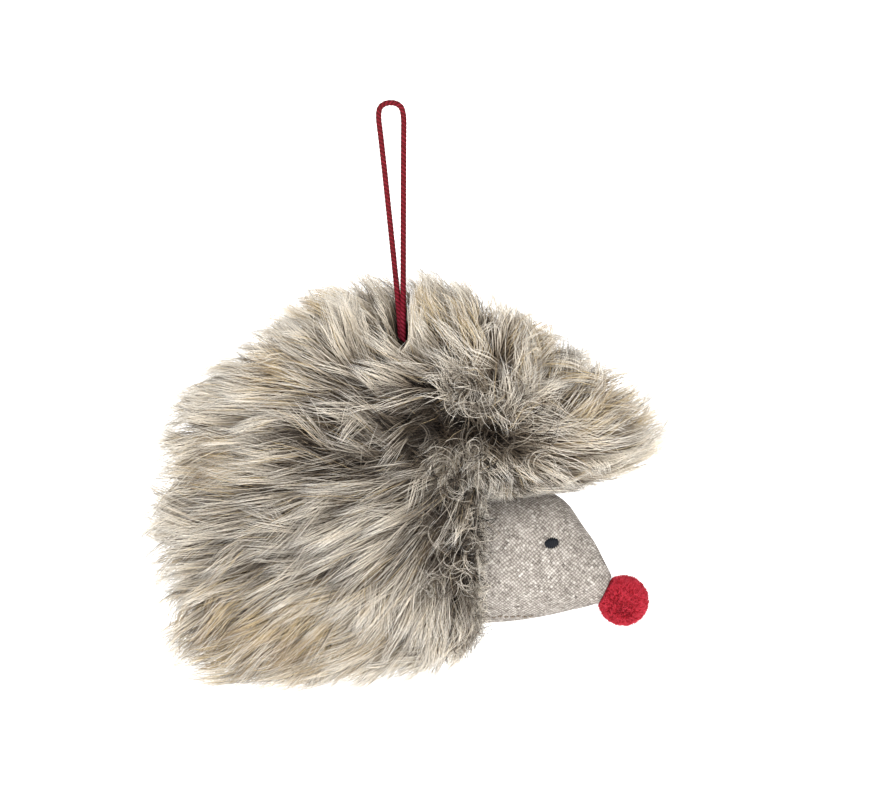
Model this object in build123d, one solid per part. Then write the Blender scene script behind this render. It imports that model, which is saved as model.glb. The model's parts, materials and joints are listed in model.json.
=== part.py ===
"""A stuffed hedgehog that hangs from a loop of cord: two faux-fur panels, a linen face and a pompom nose.

The nose points to +X, +Y is the animal's left and +Z is up. The origin is where a hook bears inside the loop's top.
Fur is drawn as the body of its pile: from the knitted backing, which lies on the stuffing, out to the hair's reach.
All sizes are in millimetres and all angles in degrees.
"""

import math
import os

from build123d import *

# The loop of cord
CORD_THICKNESS = 1.5
LOOP_BEND_RADIUS = 3.6
LOOP_DROP = 68.5
LOOP_JOIN_DROP = 47.0
CORD_LEG_GAP = 0.45
CORD_LEAN = 2.5

# The knot in the cord's ends, and the rounds of thread that sew it in
KNOT_RADIUS = 2.75
KNOT_TOP = 2.0
KNOT_DEPTH = 3.5
KNOT_THREAD_THICKNESS = 0.5
KNOT_THREAD_SPACING = 0.6
KNOT_THREAD_ROUNDS = 3

# How far the hedgehog swings and tilts on its cord, and how far the nose nods and turns
SWING_LIMIT = 20.0
TILT_LIMIT = 10.0
NOSE_LIMIT = 6.0

# The stuffed body inside the fur's backing
BODY_LENGTH = 97.0
BODY_HEIGHT = 82.5
BODY_HALF_WIDTH = 21.0

# How far the pile stands out from the stuffing: past each end, above and below, and at each side
PILE_PAST_ENDS = 22.5
PILE_ABOVE = 16.75
PILE_BESIDE = 12.0

# The coat: both fur panels together, out to the reach of the pile
COAT_LENGTH = BODY_LENGTH + 2 * PILE_PAST_ENDS
COAT_HEIGHT = BODY_HEIGHT + 2 * PILE_ABOVE
COAT_HALF_WIDTH = BODY_HALF_WIDTH + PILE_BESIDE

# Where the hedgehog is widest, ahead of and above the middle of its side outlines
WIDEST_AHEAD = 20.0
WIDEST_ABOVE = 5.0

# The head: linen over stuffing
HEAD_LENGTH = 39.9
HEAD_HEIGHT = 37.6
HEAD_HALF_WIDTH = 16.5
HEAD_DROP = 0.6
LINEN_THICKNESS = 0.7
SNOUT_DROOP = 25.5

# The pompom nose, the thread round its middle and the shank that sews it on
POMPOM_RADIUS = 7.4
POMPOM_REACH = 6.1
POMPOM_DROP = 0.6
POMPOM_GAP = 0.8
SHANK_RADIUS = 0.8
SHANK_IN_HEAD = 2.0
SHANK_IN_POMPOM = 2.2
BINDING_RADIUS = 1.65
BINDING_THICKNESS = 0.8

# The satin-stitched eyes
EYE_STRANDS = 4
EYE_STRAND_LENGTH = 3.3
EYE_STRAND_THICKNESS = 0.9
EYE_STRAND_SPACING = 1.0
EYE_SLANT = 12.0
EYE_STRAND_SLANT = 102.0
EYE_THREAD_RADIUS = 0.3

# Sewing thread: one line of it along each seam, and a row of closing stitches on each side of the chin
COAT_THREAD_THICKNESS = 0.6
COAT_THREAD_DEPTH = 0.9
FACE_THREAD_THICKNESS = 0.45
FACE_THREAD_DEPTH = 0.8
NECK_THREAD_THICKNESS = 0.5
NECK_THREAD_SETBACK = 1.2
CHIN_STITCHES = 9
CHIN_STITCH_LENGTH = 1.25
CHIN_STITCH_THICKNESS = 0.5
CHIN_ROW_START = 3.6
CHIN_ROW_LENGTH = 11.2
CHIN_ROW_RISE = 2.4

# Clearances and the overrun of every cut
LAYER_GAP = 0.15
THREAD_GAP = 0.12
MOVING_GAP = 0.3
PARTING_SPARE_ANGLE = 2.0
OVERRUN = 10.0

# Side outlines, walked from the back over the top to the nose side and under the belly. Each stretch is its far
# corner and, on an arc, the point that it passes through, as shares of the length and height about the middle.
COAT_START_SHARE = (-0.388, -0.42)
COAT_OUTLINE_SHARES = (
    ((-0.45, 0.005), (-0.452, -0.196)),
    ((-0.256, 0.372), (-0.402, 0.226)),
    ((0.024, 0.495), (-0.131, 0.471)),
    ((0.357, 0.348), (0.201, 0.451)),
    ((0.522, 0.123), (0.466, 0.245)),
    ((0.357, -0.029), (0.458, 0.044)),
    ((0.211, -0.054), None),
    ((0.161, -0.123), (0.173, -0.074)),
    ((0.157, -0.392), (0.173, -0.257)),
    ((0.04, -0.49), (0.116, -0.468)),
    ((-0.388, -0.42), (-0.18, -0.512)),
)
BODY_START_SHARE = (-0.441, -0.455)
CORD_EXIT_SHARES = (0.0, 0.462)
NECK_BOTTOM_SHARES = (0.218, -0.49)
BODY_BACK_SHARES = (
    ((-0.506, -0.017), (-0.512, -0.224)),
    ((-0.294, 0.372), (-0.453, 0.224)),
    (CORD_EXIT_SHARES, (-0.15, 0.448)),
    ((0.376, 0.324), (0.206, 0.441)),
    ((0.488, 0.097), (0.471, 0.224)),
)
BODY_NECK_SHARES = (
    ((0.397, -0.007), (0.465, 0.021)),
    ((0.218, -0.014), None),
    (NECK_BOTTOM_SHARES, None),
)
BODY_BELLY_SHARES = (
    ((0.132, -0.531), (0.191, -0.524)),
    (BODY_START_SHARE, (-0.176, -0.559)),
)
BODY_OUTLINE_SHARES = BODY_BACK_SHARES + BODY_NECK_SHARES + BODY_BELLY_SHARES

# Where the side outline is drawn again, as shares of the half width, smaller each time as on an ellipse.
WIDTH_STATION_SHARES = (0.0, 0.25, 0.45, 0.62, 0.76, 0.87, 0.94, 0.985)

# Sections of the head from the neck to the snout: share of the length, of the height at the top and at the bottom,
# and of the half width. The fourth is the one that carries the eyes.
HEAD_SECTION_SHARES = (
    (-0.243, 0.939, 0.015, 0.94),
    (0.0, 1.0, 0.0, 1.0),
    (0.329, 1.03, 0.019, 0.95),
    (0.546, 1.008, 0.057, 0.84),
    (0.686, 0.898, 0.091, 0.72),
    (0.779, 0.75, 0.114, 0.60),
    (0.864, 0.621, 0.14, 0.475),
    (0.943, 0.455, 0.159, 0.32),
    (1.0, 0.341, 0.182, 0.17),
)
EYE_ALONG_SHARE = 0.546
EYE_UP_SHARE = 0.621
SNOUT_ALONG_SHARE = 0.936
SNOUT_UP_SHARE = 0.258

# How much of each stretch of a seam its thread covers
THREAD_REACH_SHARE = 0.96
# The eye's outer strands are this share of the middle ones' length
EYE_OUTER_SHARE = 0.74


def on_outline(corner_shares, length, height):
    """The place of an outline's corner beside the middle of its form, as (X, Z)."""
    return corner_shares[0] * length, corner_shares[1] * height


# Where things are, worked out from the loop down to the nose
EXIT_X, EXIT_UP = on_outline(CORD_EXIT_SHARES, BODY_LENGTH, BODY_HEIGHT)
MIDDLE_X = CORD_LEAN - EXIT_X
MIDDLE_Z = -LOOP_DROP - EXIT_UP
KNOT_CENTRE = Vector(CORD_LEAN, 0, -LOOP_DROP - KNOT_DEPTH)

NECK_X, NECK_BOTTOM = on_outline(NECK_BOTTOM_SHARES, BODY_LENGTH, BODY_HEIGHT)
HEAD_START = Vector(MIDDLE_X + NECK_X, 0, MIDDLE_Z + NECK_BOTTOM - HEAD_DROP)

SNOUT_END = HEAD_START + Vector(SNOUT_ALONG_SHARE * HEAD_LENGTH, 0, SNOUT_UP_SHARE * HEAD_HEIGHT)
SNOUT_OUT = Vector(math.cos(math.radians(SNOUT_DROOP)), 0, -math.sin(math.radians(SNOUT_DROOP)))
SNOUT_UP = Vector(math.sin(math.radians(SNOUT_DROOP)), 0, math.cos(math.radians(SNOUT_DROOP)))
POMPOM_CENTRE = SNOUT_END + SNOUT_OUT * POMPOM_REACH - SNOUT_UP * POMPOM_DROP
NOSE_PIVOT = SNOUT_END + SNOUT_OUT * (POMPOM_GAP / 2)

CORD_LEG = (CORD_THICKNESS + CORD_LEG_GAP) / 2
CORD_PAIR_RADIUS = CORD_LEG + CORD_THICKNESS / 2
POCKET_RADIUS = KNOT_RADIUS + THREAD_GAP + KNOT_THREAD_THICKNESS + MOVING_GAP


def outline_edges(start, stretches, length, height, share, y):
    """A side outline's lines and arcs at one depth, drawn share times their full size about the widest place."""
    widest = Vector(MIDDLE_X + WIDEST_AHEAD, y, MIDDLE_Z + WIDEST_ABOVE)

    def place(point):
        x, z = on_outline(point, length, height)
        return widest + Vector(x - WIDEST_AHEAD, 0, z - WIDEST_ABOVE) * share

    edges = []
    last = place(start)
    for corner, through in stretches:
        corner = place(corner)
        if through is None:
            edges.append(Edge.make_line(last, corner))
        else:
            edges.append(Edge.make_three_point_arc(last, place(through), corner))
        last = corner
    return edges


def swelling_half(start, stretches, length, height, half_width, side):
    """Half of a stuffed form: its side outline lofted out from the middle plane, shrinking as on an ellipse."""
    wires = []
    for station in WIDTH_STATION_SHARES:
        share = math.sqrt(1 - station**2)
        edges = outline_edges(start, stretches, length, height, share, side * station * half_width)
        wires.append(Wire(edges))
    return Solid.make_loft(wires)


def coat_half(side):
    """One side of the furry outer form."""
    return swelling_half(COAT_START_SHARE, COAT_OUTLINE_SHARES, COAT_LENGTH, COAT_HEIGHT, COAT_HALF_WIDTH, side)


def body_form(grow):
    """The stuffed body, made larger all round by grow."""
    sizes = (BODY_LENGTH + 2 * grow, BODY_HEIGHT + 2 * grow, BODY_HALF_WIDTH + grow)
    halves = [swelling_half(BODY_START_SHARE, BODY_OUTLINE_SHARES, *sizes, side) for side in (-1, 1)]
    return halves[0].fuse(halves[1])


def head_section(shares, inset, sides):
    """One section of the head, with a bowed side for each entry of sides, 1 for left and -1 for right.

    Two sides meet in a seam on top and one underneath, and one side alone is closed on the middle plane.
    """
    along, top, bottom, half_width = shares
    x = HEAD_START.X + along * HEAD_LENGTH
    low = Vector(x, 0, HEAD_START.Z + bottom * HEAD_HEIGHT + inset)
    high = Vector(x, 0, HEAD_START.Z + top * HEAD_HEIGHT - inset)
    out = half_width * HEAD_HALF_WIDTH - inset
    edges = [Edge.make_three_point_arc(low, (low + high) / 2 + Vector(0, side * out, 0), high) for side in sides]
    if len(edges) == 1:
        edges.append(Edge.make_line(low, high))
    return Wire(edges)


def beyond_snout(clear):
    """Everything past the snout's blunt end, moved outwards by clear."""
    size = HEAD_LENGTH + POMPOM_RADIUS + OVERRUN
    block = Box(size, size, size, align=(Align.CENTER, Align.CENTER, Align.MIN))
    return Plane(origin=SNOUT_END + SNOUT_OUT * clear, z_dir=SNOUT_OUT).location * block


def head_form(inset, sides=(1, -1)):
    """The head from inside the body to the snout's blunt end, made smaller all round by inset."""
    sections = [head_section(shares, inset, sides) for shares in HEAD_SECTION_SHARES]
    return Solid.make_loft(sections, ruled=True) - beyond_snout(-inset)


def cord_parting():
    """The room in the pile and the seam where the cord swings: a pyramid that opens upwards from the knot."""
    lean = CORD_LEAN / -KNOT_CENTRE.Z
    swing = math.radians(SWING_LIMIT + PARTING_SPARE_ANGLE)
    tilt = math.radians(TILT_LIMIT + PARTING_SPARE_ANGLE)
    narrow_x = (CORD_PAIR_RADIUS + MOVING_GAP) / math.cos(swing)
    narrow_y = (CORD_PAIR_RADIUS + MOVING_GAP) / math.cos(tilt)
    sections = []
    for rise in (0, COAT_HEIGHT / 2):
        half_x = narrow_x + rise * math.tan(swing)
        half_y = narrow_y + rise * math.tan(tilt) / math.cos(swing)
        where = Plane(origin=KNOT_CENTRE + Vector(-lean * rise, 0, rise))
        sections.append(where * Rectangle(2 * half_x, 2 * half_y))
    return loft(sections) + Location(KNOT_CENTRE) * Sphere(POCKET_RADIUS)


def stitch(at, along, length, thickness):
    """A short round-ended length of thread."""
    radius = thickness / 2
    tip = length / 2
    slant = radius * math.sqrt(1 / 2)
    upper = Edge.make_three_point_arc((radius, 0, tip - radius), (slant, 0, tip - radius + slant), (0, 0, tip))
    lower = Edge.make_three_point_arc((0, 0, -tip), (slant, 0, radius - tip - slant), (radius, 0, radius - tip))
    core = Edge.make_line((0, 0, tip), (0, 0, -tip))
    flank = Edge.make_line((radius, 0, radius - tip), (radius, 0, tip - radius))
    body = revolve(Face(Wire([upper, core, lower, flank])), axis=Axis.Z)
    return Plane(origin=at, z_dir=along).location * body


def thread_along(edge, thickness):
    """Thread laid along one line or arc of a seam, which it leaves a little of at each end."""
    bare_share = (1 - THREAD_REACH_SHARE) / 2
    path = edge.trim(bare_share, 1 - bare_share)
    start = Plane(origin=path @ 0, z_dir=path % 0)
    if path.geom_type == GeomType.LINE:
        return start.location * Cylinder(thickness / 2, path.length, align=(Align.CENTER, Align.CENTER, Align.MIN))
    turning = (path @ 0 - path.arc_center).cross(path % 0)
    turn = math.degrees(path.length / path.radius)
    return revolve(start * Circle(thickness / 2), axis=Axis(path.arc_center, turning), revolution_arc=turn)


def cord_route():
    """The points that the cord follows, from the knot up one leg, over the hook and down the other leg."""
    knot_top = KNOT_CENTRE.Z + KNOT_TOP
    bend_z = CORD_THICKNESS / 2 - LOOP_BEND_RADIUS
    corner = LOOP_BEND_RADIUS * math.tan(math.pi / 8)
    start = Vector(LOOP_BEND_RADIUS, 0, bend_z + corner)
    end = Vector(CORD_LEAN + CORD_LEG, 0, knot_top)
    down = (start.Z + LOOP_JOIN_DROP) / (start.Z - end.Z)
    join_x = start.X + (end.X - start.X) * down - 2 * CORD_LEG
    return [
        Vector(CORD_LEAN - CORD_LEG, 0, knot_top),
        Vector(join_x, 0, -LOOP_JOIN_DROP),
        Vector(-LOOP_BEND_RADIUS, 0, bend_z + corner),
        Vector(-corner, 0, bend_z + LOOP_BEND_RADIUS),
        Vector(corner, 0, bend_z + LOOP_BEND_RADIUS),
        start,
        end,
    ]


def bend_radii(points):
    """Each corner's largest arc: 0.45 of the shorter run beside it, over the tangent of half the turn."""
    run_share = 0.45
    radii = []
    for before, at, after in zip(points, points[1:], points[2:], strict=False):
        half_turn = math.radians((at - before).get_angle(after - at)) / 2
        shorter = min((at - before).length, (after - at).length)
        radii.append(run_share * shorter / math.tan(half_turn))
    return radii


def hanging_loop():
    """The cord itself, one tube from the knot round the loop and back to it."""
    points = cord_route()
    radii = bend_radii(points)
    path = FilletPolyline(*points, radius=radii)
    ring = Plane(origin=path @ 0, z_dir=path % 0) * Circle(CORD_THICKNESS / 2)
    tube = sweep(ring, path=path)
    flat = Box(LOOP_DROP, LOOP_DROP, OVERRUN, align=(Align.CENTER, Align.CENTER, Align.MAX))
    tube = tube - Pos(0, 0, KNOT_CENTRE.Z + KNOT_TOP) * flat
    print("cord: length", round(path.length, 1), "radii", [round(radius, 1) for radius in radii])
    print("cord: volume over section times length", tube.volume / (ring.area * path.length))
    return tube


def loop_knot():
    """The knot as a ball, flat where the cord's two ends go in."""
    flat = Pos(0, 0, KNOT_TOP) * Box(
        2 * KNOT_RADIUS, 2 * KNOT_RADIUS, KNOT_RADIUS, align=(Align.CENTER, Align.CENTER, Align.MIN)
    )
    return Location(KNOT_CENTRE) * (Sphere(KNOT_RADIUS) - flat)


def loop_stitches():
    """Rounds of thread about the knot's middle, which sew it to the inside of the seam."""
    rounds = []
    for turn in range(KNOT_THREAD_ROUNDS):
        rise = (turn - (KNOT_THREAD_ROUNDS - 1) / 2) * KNOT_THREAD_SPACING
        ball = KNOT_RADIUS + THREAD_GAP + KNOT_THREAD_THICKNESS / 2
        radius = math.sqrt(ball**2 - rise**2)
        place = Location(KNOT_CENTRE + Vector(0, 0, rise))
        rounds.append(place * Torus(radius, KNOT_THREAD_THICKNESS / 2))
    return Compound(children=rounds)


def shank_line(radius, start, end):
    """A round bar along the snout's axis, between two distances from its blunt end."""
    bar = Cylinder(radius, end - start, align=(Align.CENTER, Align.CENTER, Align.MIN))
    return Plane(origin=SNOUT_END + SNOUT_OUT * start, z_dir=SNOUT_OUT).location * bar


def shank_room(reach):
    """How far the shank's hole is opened so that the shank can tip in it."""
    return SHANK_RADIUS + (reach + POMPOM_GAP / 2) * math.sin(math.radians(NOSE_LIMIT)) + THREAD_GAP


def nose_thread():
    """The sewn shank between the snout and the pompom."""
    return shank_line(SHANK_RADIUS, -SHANK_IN_HEAD, POMPOM_GAP + SHANK_IN_POMPOM)


def binding_plane():
    """The place of the thread round the pompom's middle, past the shank's end."""
    past = POMPOM_GAP + SHANK_IN_POMPOM + THREAD_GAP + BINDING_THICKNESS / 2
    return Plane(origin=SNOUT_END + SNOUT_OUT * past, z_dir=SNOUT_OUT)


def nose_binding():
    """The thread tied round the middle of the pile."""
    return binding_plane().location * Torus(BINDING_RADIUS, BINDING_THICKNESS / 2)


def nose_pompom():
    """The ball of pile, flat where it is drawn against the snout."""
    end = POMPOM_GAP + SHANK_IN_POMPOM + THREAD_GAP
    flat = Plane(origin=SNOUT_END + SNOUT_OUT * POMPOM_GAP, z_dir=-SNOUT_OUT).location * Box(
        2 * POMPOM_RADIUS, 2 * POMPOM_RADIUS, POMPOM_RADIUS, align=(Align.CENTER, Align.CENTER, Align.MIN)
    )
    ball = Location(POMPOM_CENTRE) * Sphere(POMPOM_RADIUS) - flat
    ball = ball - shank_line(shank_room(SHANK_IN_POMPOM), -POMPOM_GAP, end)
    ring_room = Cylinder(
        BINDING_RADIUS + BINDING_THICKNESS / 2 + THREAD_GAP, BINDING_THICKNESS + 2 * THREAD_GAP
    )
    return ball - binding_plane().location * ring_room


def cloth_place(along_share, up_share, side):
    """A point on one side of the head's cloth, by its shares of the length and height, and the way out of it."""
    for near, far in zip(HEAD_SECTION_SHARES, HEAD_SECTION_SHARES[1:], strict=False):
        if near[0] <= along_share <= far[0]:
            break
    step_share = (along_share - near[0]) / (far[0] - near[0])
    top, bottom, width = (first + (last - first) * step_share for first, last in zip(near[1:], far[1:], strict=True))
    half_height = (top - bottom) * HEAD_HEIGHT / 2
    out = width * HEAD_HALF_WIDTH
    bow_radius = (half_height**2 + out**2) / (2 * out)
    above = (up_share - (top + bottom) / 2) * HEAD_HEIGHT
    reach = math.sqrt(bow_radius**2 - above**2)
    at = HEAD_START + Vector(along_share * HEAD_LENGTH, side * (reach + out - bow_radius), up_share * HEAD_HEIGHT)
    return at, Vector(0, side * reach, above).normalized()


def laid_stitch(side, along, up, slant, length, thickness):
    """A stitch on the head's cloth, its middle along and up from the head's start, slant degrees off level."""
    ends = []
    for reach in (-length / 2, length / 2):
        end_along = along + reach * math.cos(math.radians(slant))
        end_up = up + reach * math.sin(math.radians(slant))
        at, out = cloth_place(end_along / HEAD_LENGTH, end_up / HEAD_HEIGHT, side)
        ends.append(at + out * (thickness / 2 + THREAD_GAP))
    return stitch((ends[0] + ends[1]) / 2, ends[1] - ends[0], length, thickness)


def eye(side):
    """Satin stitches laid side by side on the cloth, a little longer in the middle of the eye."""
    strands = []
    for number in range(EYE_STRANDS):
        offset = number - (EYE_STRANDS - 1) / 2
        outermost = number in (0, EYE_STRANDS - 1)
        length = EYE_STRAND_LENGTH * (EYE_OUTER_SHARE if outermost else 1)
        along = EYE_ALONG_SHARE * HEAD_LENGTH + offset * EYE_STRAND_SPACING * math.cos(math.radians(EYE_SLANT))
        up = EYE_UP_SHARE * HEAD_HEIGHT + offset * EYE_STRAND_SPACING * math.sin(math.radians(EYE_SLANT))
        strands.append(laid_stitch(side, along, up, EYE_STRAND_SLANT, length, EYE_STRAND_THICKNESS))
    return strands


def eye_thread_line(radius):
    """The straight line from eye to eye, longer than the head is wide."""
    at, _ = cloth_place(EYE_ALONG_SHARE, EYE_UP_SHARE, 1)
    bar = Cylinder(radius, 2 * HEAD_HALF_WIDTH + OVERRUN)
    return Plane(origin=Vector(at.X, 0, at.Z), z_dir=Vector(0, 1, 0)).location * bar


def coat_seam_thread(thickness):
    """Thread in the seam between the fur panels, just outside the stuffing, from under the chin to the hood's tip."""
    sizes = (BODY_LENGTH + 2 * COAT_THREAD_DEPTH, BODY_HEIGHT + 2 * COAT_THREAD_DEPTH)
    edges = outline_edges(BODY_START_SHARE, BODY_OUTLINE_SHARES, *sizes, 1, 0)
    sewn = edges[: len(BODY_BACK_SHARES)] + edges[-len(BODY_BELLY_SHARES) :]
    return [thread_along(edge, thickness) for edge in sewn]


def face_seam_thread(thickness):
    """Thread inside the linen along its seams, one on top of the head and one underneath, straight between sections."""
    inset = LINEN_THICKNESS + FACE_THREAD_DEPTH
    lines = []
    for row, down in ((1, -inset), (2, inset)):
        points = [
            HEAD_START + Vector(shares[0] * HEAD_LENGTH, 0, shares[row] * HEAD_HEIGHT + down)
            for shares in HEAD_SECTION_SHARES[1:-2]
        ]
        lines += [Edge.make_line(first, second) for first, second in zip(points, points[1:], strict=False)]
    return [thread_along(line, thickness) for line in lines]


def neck_seam_thread(thickness):
    """Thread round the neck where the fur's edge meets the linen, one length of it on each side of the head."""
    neck = (NECK_THREAD_SETBACK / HEAD_LENGTH, *HEAD_SECTION_SHARES[1][1:])
    out = THREAD_GAP + NECK_THREAD_THICKNESS / 2
    return [thread_along(head_section(neck, -out, (side,)).edges()[0], thickness) for side in (1, -1)]


def chin_stitches():
    """The row of closing stitches low on each side of the chin."""
    made = []
    for side in (-1, 1):
        for number in range(CHIN_STITCHES):
            along = CHIN_ROW_START + number * CHIN_ROW_LENGTH / (CHIN_STITCHES - 1)
            made.append(
                laid_stitch(side, along, CHIN_ROW_RISE, 0, CHIN_STITCH_LENGTH, CHIN_STITCH_THICKNESS)
            )
    return made


def without(shape, cutters):
    """A shape with each of the cutters taken out of it."""
    for cutter in cutters:
        shape = shape - cutter
    return shape


def write(name, *shapes):
    """Writes one piece, which may be several solids, as a STEP file named after its node."""
    solids = [solid for shape in shapes for solid in shape.solids()]
    export_step(Compound(children=solids), f"parts/{name}.step")


def main():
    """Builds every piece and writes it."""
    os.makedirs("parts", exist_ok=True)
    parting = cord_parting()
    body = body_form(0)
    body_room = body_form(LAYER_GAP)
    head = head_form(0)
    head_room = head_form(-LAYER_GAP)
    lining = head_form(LINEN_THICKNESS)
    stuffing = head_form(LINEN_THICKNESS + LAYER_GAP)
    shank_hole = shank_line(shank_room(SHANK_IN_HEAD), -SHANK_IN_HEAD - LAYER_GAP, POMPOM_GAP)
    eye_hole = eye_thread_line(EYE_THREAD_RADIUS + THREAD_GAP)
    coat_grooves = coat_seam_thread(COAT_THREAD_THICKNESS + 2 * THREAD_GAP)
    neck_grooves = neck_seam_thread(NECK_THREAD_THICKNESS + 2 * THREAD_GAP)
    face_grooves = face_seam_thread(FACE_THREAD_THICKNESS + 2 * THREAD_GAP)

    for name, side in (("left", 1), ("right", -1)):
        fur = coat_half(side) - body_room - head_room - parting
        write(f"fur_panel_{name}", without(fur, coat_grooves + neck_grooves))
        linen = head_form(0, (side,)) - lining - body_room
        write(f"face_panel_{name}", linen - shank_hole - eye_hole)
        write(f"eye_{name}", *eye(side))
    write("body_stuffing", body - parting)
    write("head_stuffing", without(stuffing - body_room - shank_hole - eye_hole, face_grooves))
    write("eye_thread", eye_thread_line(EYE_THREAD_RADIUS) & head)
    write("hanging_loop", hanging_loop())
    write("loop_knot", loop_knot())
    write("loop_stitches", loop_stitches())
    write("nose_thread", nose_thread())
    write("nose_binding", nose_binding())
    write("nose_pompom", nose_pompom())
    write("coat_seam_thread", *[thread - parting for thread in coat_seam_thread(COAT_THREAD_THICKNESS)])
    write("face_seam_thread", *face_seam_thread(FACE_THREAD_THICKNESS))
    write("neck_seam_thread", *neck_seam_thread(NECK_THREAD_THICKNESS))
    write("chin_stitches", *chin_stitches())
    print("hinges: knot", KNOT_CENTRE, "nose", NOSE_PIVOT, "snout up", SNOUT_UP)


main()
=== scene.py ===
"""Dresses the hanging hedgehog: combed faux fur, a linen face, a pompom nose and a loop of twisted cord.

Sizes are in millimetres until a mesh is laid. The nose points to +X, +Y is the animal's left and +Z is up.
"""

import json
import logging
import math
from collections.abc import Callable, Sequence
from dataclasses import dataclass, field
from enum import Enum

import bpy
import numpy as np
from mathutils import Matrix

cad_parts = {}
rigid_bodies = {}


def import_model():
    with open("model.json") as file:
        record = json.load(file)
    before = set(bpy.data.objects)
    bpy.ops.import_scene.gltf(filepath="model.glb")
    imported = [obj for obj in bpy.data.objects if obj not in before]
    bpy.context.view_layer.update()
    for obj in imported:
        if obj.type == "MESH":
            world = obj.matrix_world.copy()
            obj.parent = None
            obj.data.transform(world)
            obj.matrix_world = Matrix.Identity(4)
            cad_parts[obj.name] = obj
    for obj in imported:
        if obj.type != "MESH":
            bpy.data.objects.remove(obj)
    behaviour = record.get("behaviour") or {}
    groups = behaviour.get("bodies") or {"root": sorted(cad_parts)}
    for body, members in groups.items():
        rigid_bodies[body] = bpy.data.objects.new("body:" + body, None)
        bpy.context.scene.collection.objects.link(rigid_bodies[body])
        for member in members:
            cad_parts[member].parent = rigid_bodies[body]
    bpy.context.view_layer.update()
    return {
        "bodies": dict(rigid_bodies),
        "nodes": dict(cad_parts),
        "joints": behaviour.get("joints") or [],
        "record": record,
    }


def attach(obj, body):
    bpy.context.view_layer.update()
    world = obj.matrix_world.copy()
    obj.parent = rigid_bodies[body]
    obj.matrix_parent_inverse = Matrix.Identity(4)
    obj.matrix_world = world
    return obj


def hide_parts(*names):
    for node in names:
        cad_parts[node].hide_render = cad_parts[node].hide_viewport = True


log = logging.getLogger("hedgehog")

MM = 0.001
Array = np.ndarray
Pair = tuple[float, float]
Triple = tuple[float, float, float]
Patch = tuple[float, float, float, float]

# The middle of the side outlines, and where the form is widest beside it
MIDDLE = np.array((2.5, -106.615))
WIDEST = MIDDLE + np.array((20.0, 5.0))
# Where the cord goes into the seam
CORD_EXIT = np.array((2.5, 0.0, -68.5))
CORD_PLIES = 3
CORD_LAY = 3.6
CORD_LENGTH = 146.0


class Side(Enum):
    """A side of the animal, with the sign of its Y."""

    RIGHT = -1
    LEFT = 1

    @property
    def word(self) -> str:
        """The side's name in lower case."""
        return self.name.lower()


# Shapes


def unit(vectors: Array) -> Array:
    """Vectors divided by their lengths, along the last axis."""
    return vectors / np.maximum(np.linalg.norm(vectors, axis=-1, keepdims=True), 1e-12)


def smooth_step(low: float, high: float, values: Array) -> Array:
    """0 below low, 1 above high, and 3s^2 - 2s^3 of the share s between them."""
    share = np.clip((values - low) / (high - low), 0, 1)
    return share * share * (3 - 2 * share)


def bell(points: Array, patch: Triple) -> Array:
    """How much of a patch, given by x, z and radius, is at points: a bell curve of distance over radius."""
    apart = (points[..., 0] - patch[0]) ** 2 + (points[..., 2] - patch[1]) ** 2
    return np.exp(-(apart / patch[2] ** 2))


def lengths_up_to(line: Array) -> Array:
    """The length of a line of points up to each of them."""
    return np.concatenate(([0], np.cumsum(np.linalg.norm(np.diff(line, axis=0), axis=1))))


def at_lengths(line: Array, at: Array) -> Array:
    """The points that lie at given lengths along a line of points."""
    lengths = lengths_up_to(line)
    return np.stack([np.interp(at, lengths, line[:, axis]) for axis in range(line.shape[1])], axis=-1)


def across(sides: Array) -> Array:
    """Ways of length 1 along Y to given sides, which are -1 or 1."""
    return np.stack((0 * sides, sides, 0 * sides), axis=-1)


def by_turns(numbers: Array) -> Array:
    """The animal's right for even numbers and its left for odd ones."""
    return np.where(numbers % 2 == 0, Side.RIGHT.value, Side.LEFT.value)


def eased(knots: Array, values: Array, at: Array) -> Array:
    """A smooth line through given values.

    Between two knots it is the cubic that has their values and, at each, the slope between its neighbours.

    Args:
        knots: where the values are given, in rising order.
        values: the values there.
        at: where the line is wanted.

    Returns:
        The line's values, in the shape of at.
    """
    slopes = np.gradient(values, knots)
    left = np.clip(np.searchsorted(knots, at, side="right") - 1, 0, len(knots) - 2)
    step = knots[left + 1] - knots[left]
    s = (at - knots[left]) / step
    start, end = values[left], values[left + 1]
    rise = step * (s * (1 - s) ** 2 * slopes[left] - s * s * (1 - s) * slopes[left + 1])
    return start + (end - start) * s * s * (3 - 2 * s) + rise


def arc_points(start: Array, through: Array, end: Array, steps: int) -> Array:
    """Points on the circle through three points, from the first to the last.

    The centre is where the upright bisectors of the two chords meet, and the angle about it grows evenly.

    Args:
        start, through, end: the three points, as (x, z).
        steps: how many points, the last one left out.

    Returns:
        An array of (steps, 2).
    """
    chords = 2 * np.array((through - start, end - start))
    sums = np.array((through @ through - start @ start, end @ end - start @ start))
    centre = np.linalg.solve(chords, sums)
    angles = [math.atan2(*(point - centre)[::-1]) for point in (start, through, end)]
    sweep = (angles[2] - angles[0]) % (2 * math.pi)
    if (angles[1] - angles[0]) % (2 * math.pi) > sweep:
        sweep -= 2 * math.pi
    turned = angles[0] + sweep * np.arange(steps) / steps
    return centre + np.linalg.norm(start - centre) * np.stack((np.cos(turned), np.sin(turned)), axis=-1)


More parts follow.
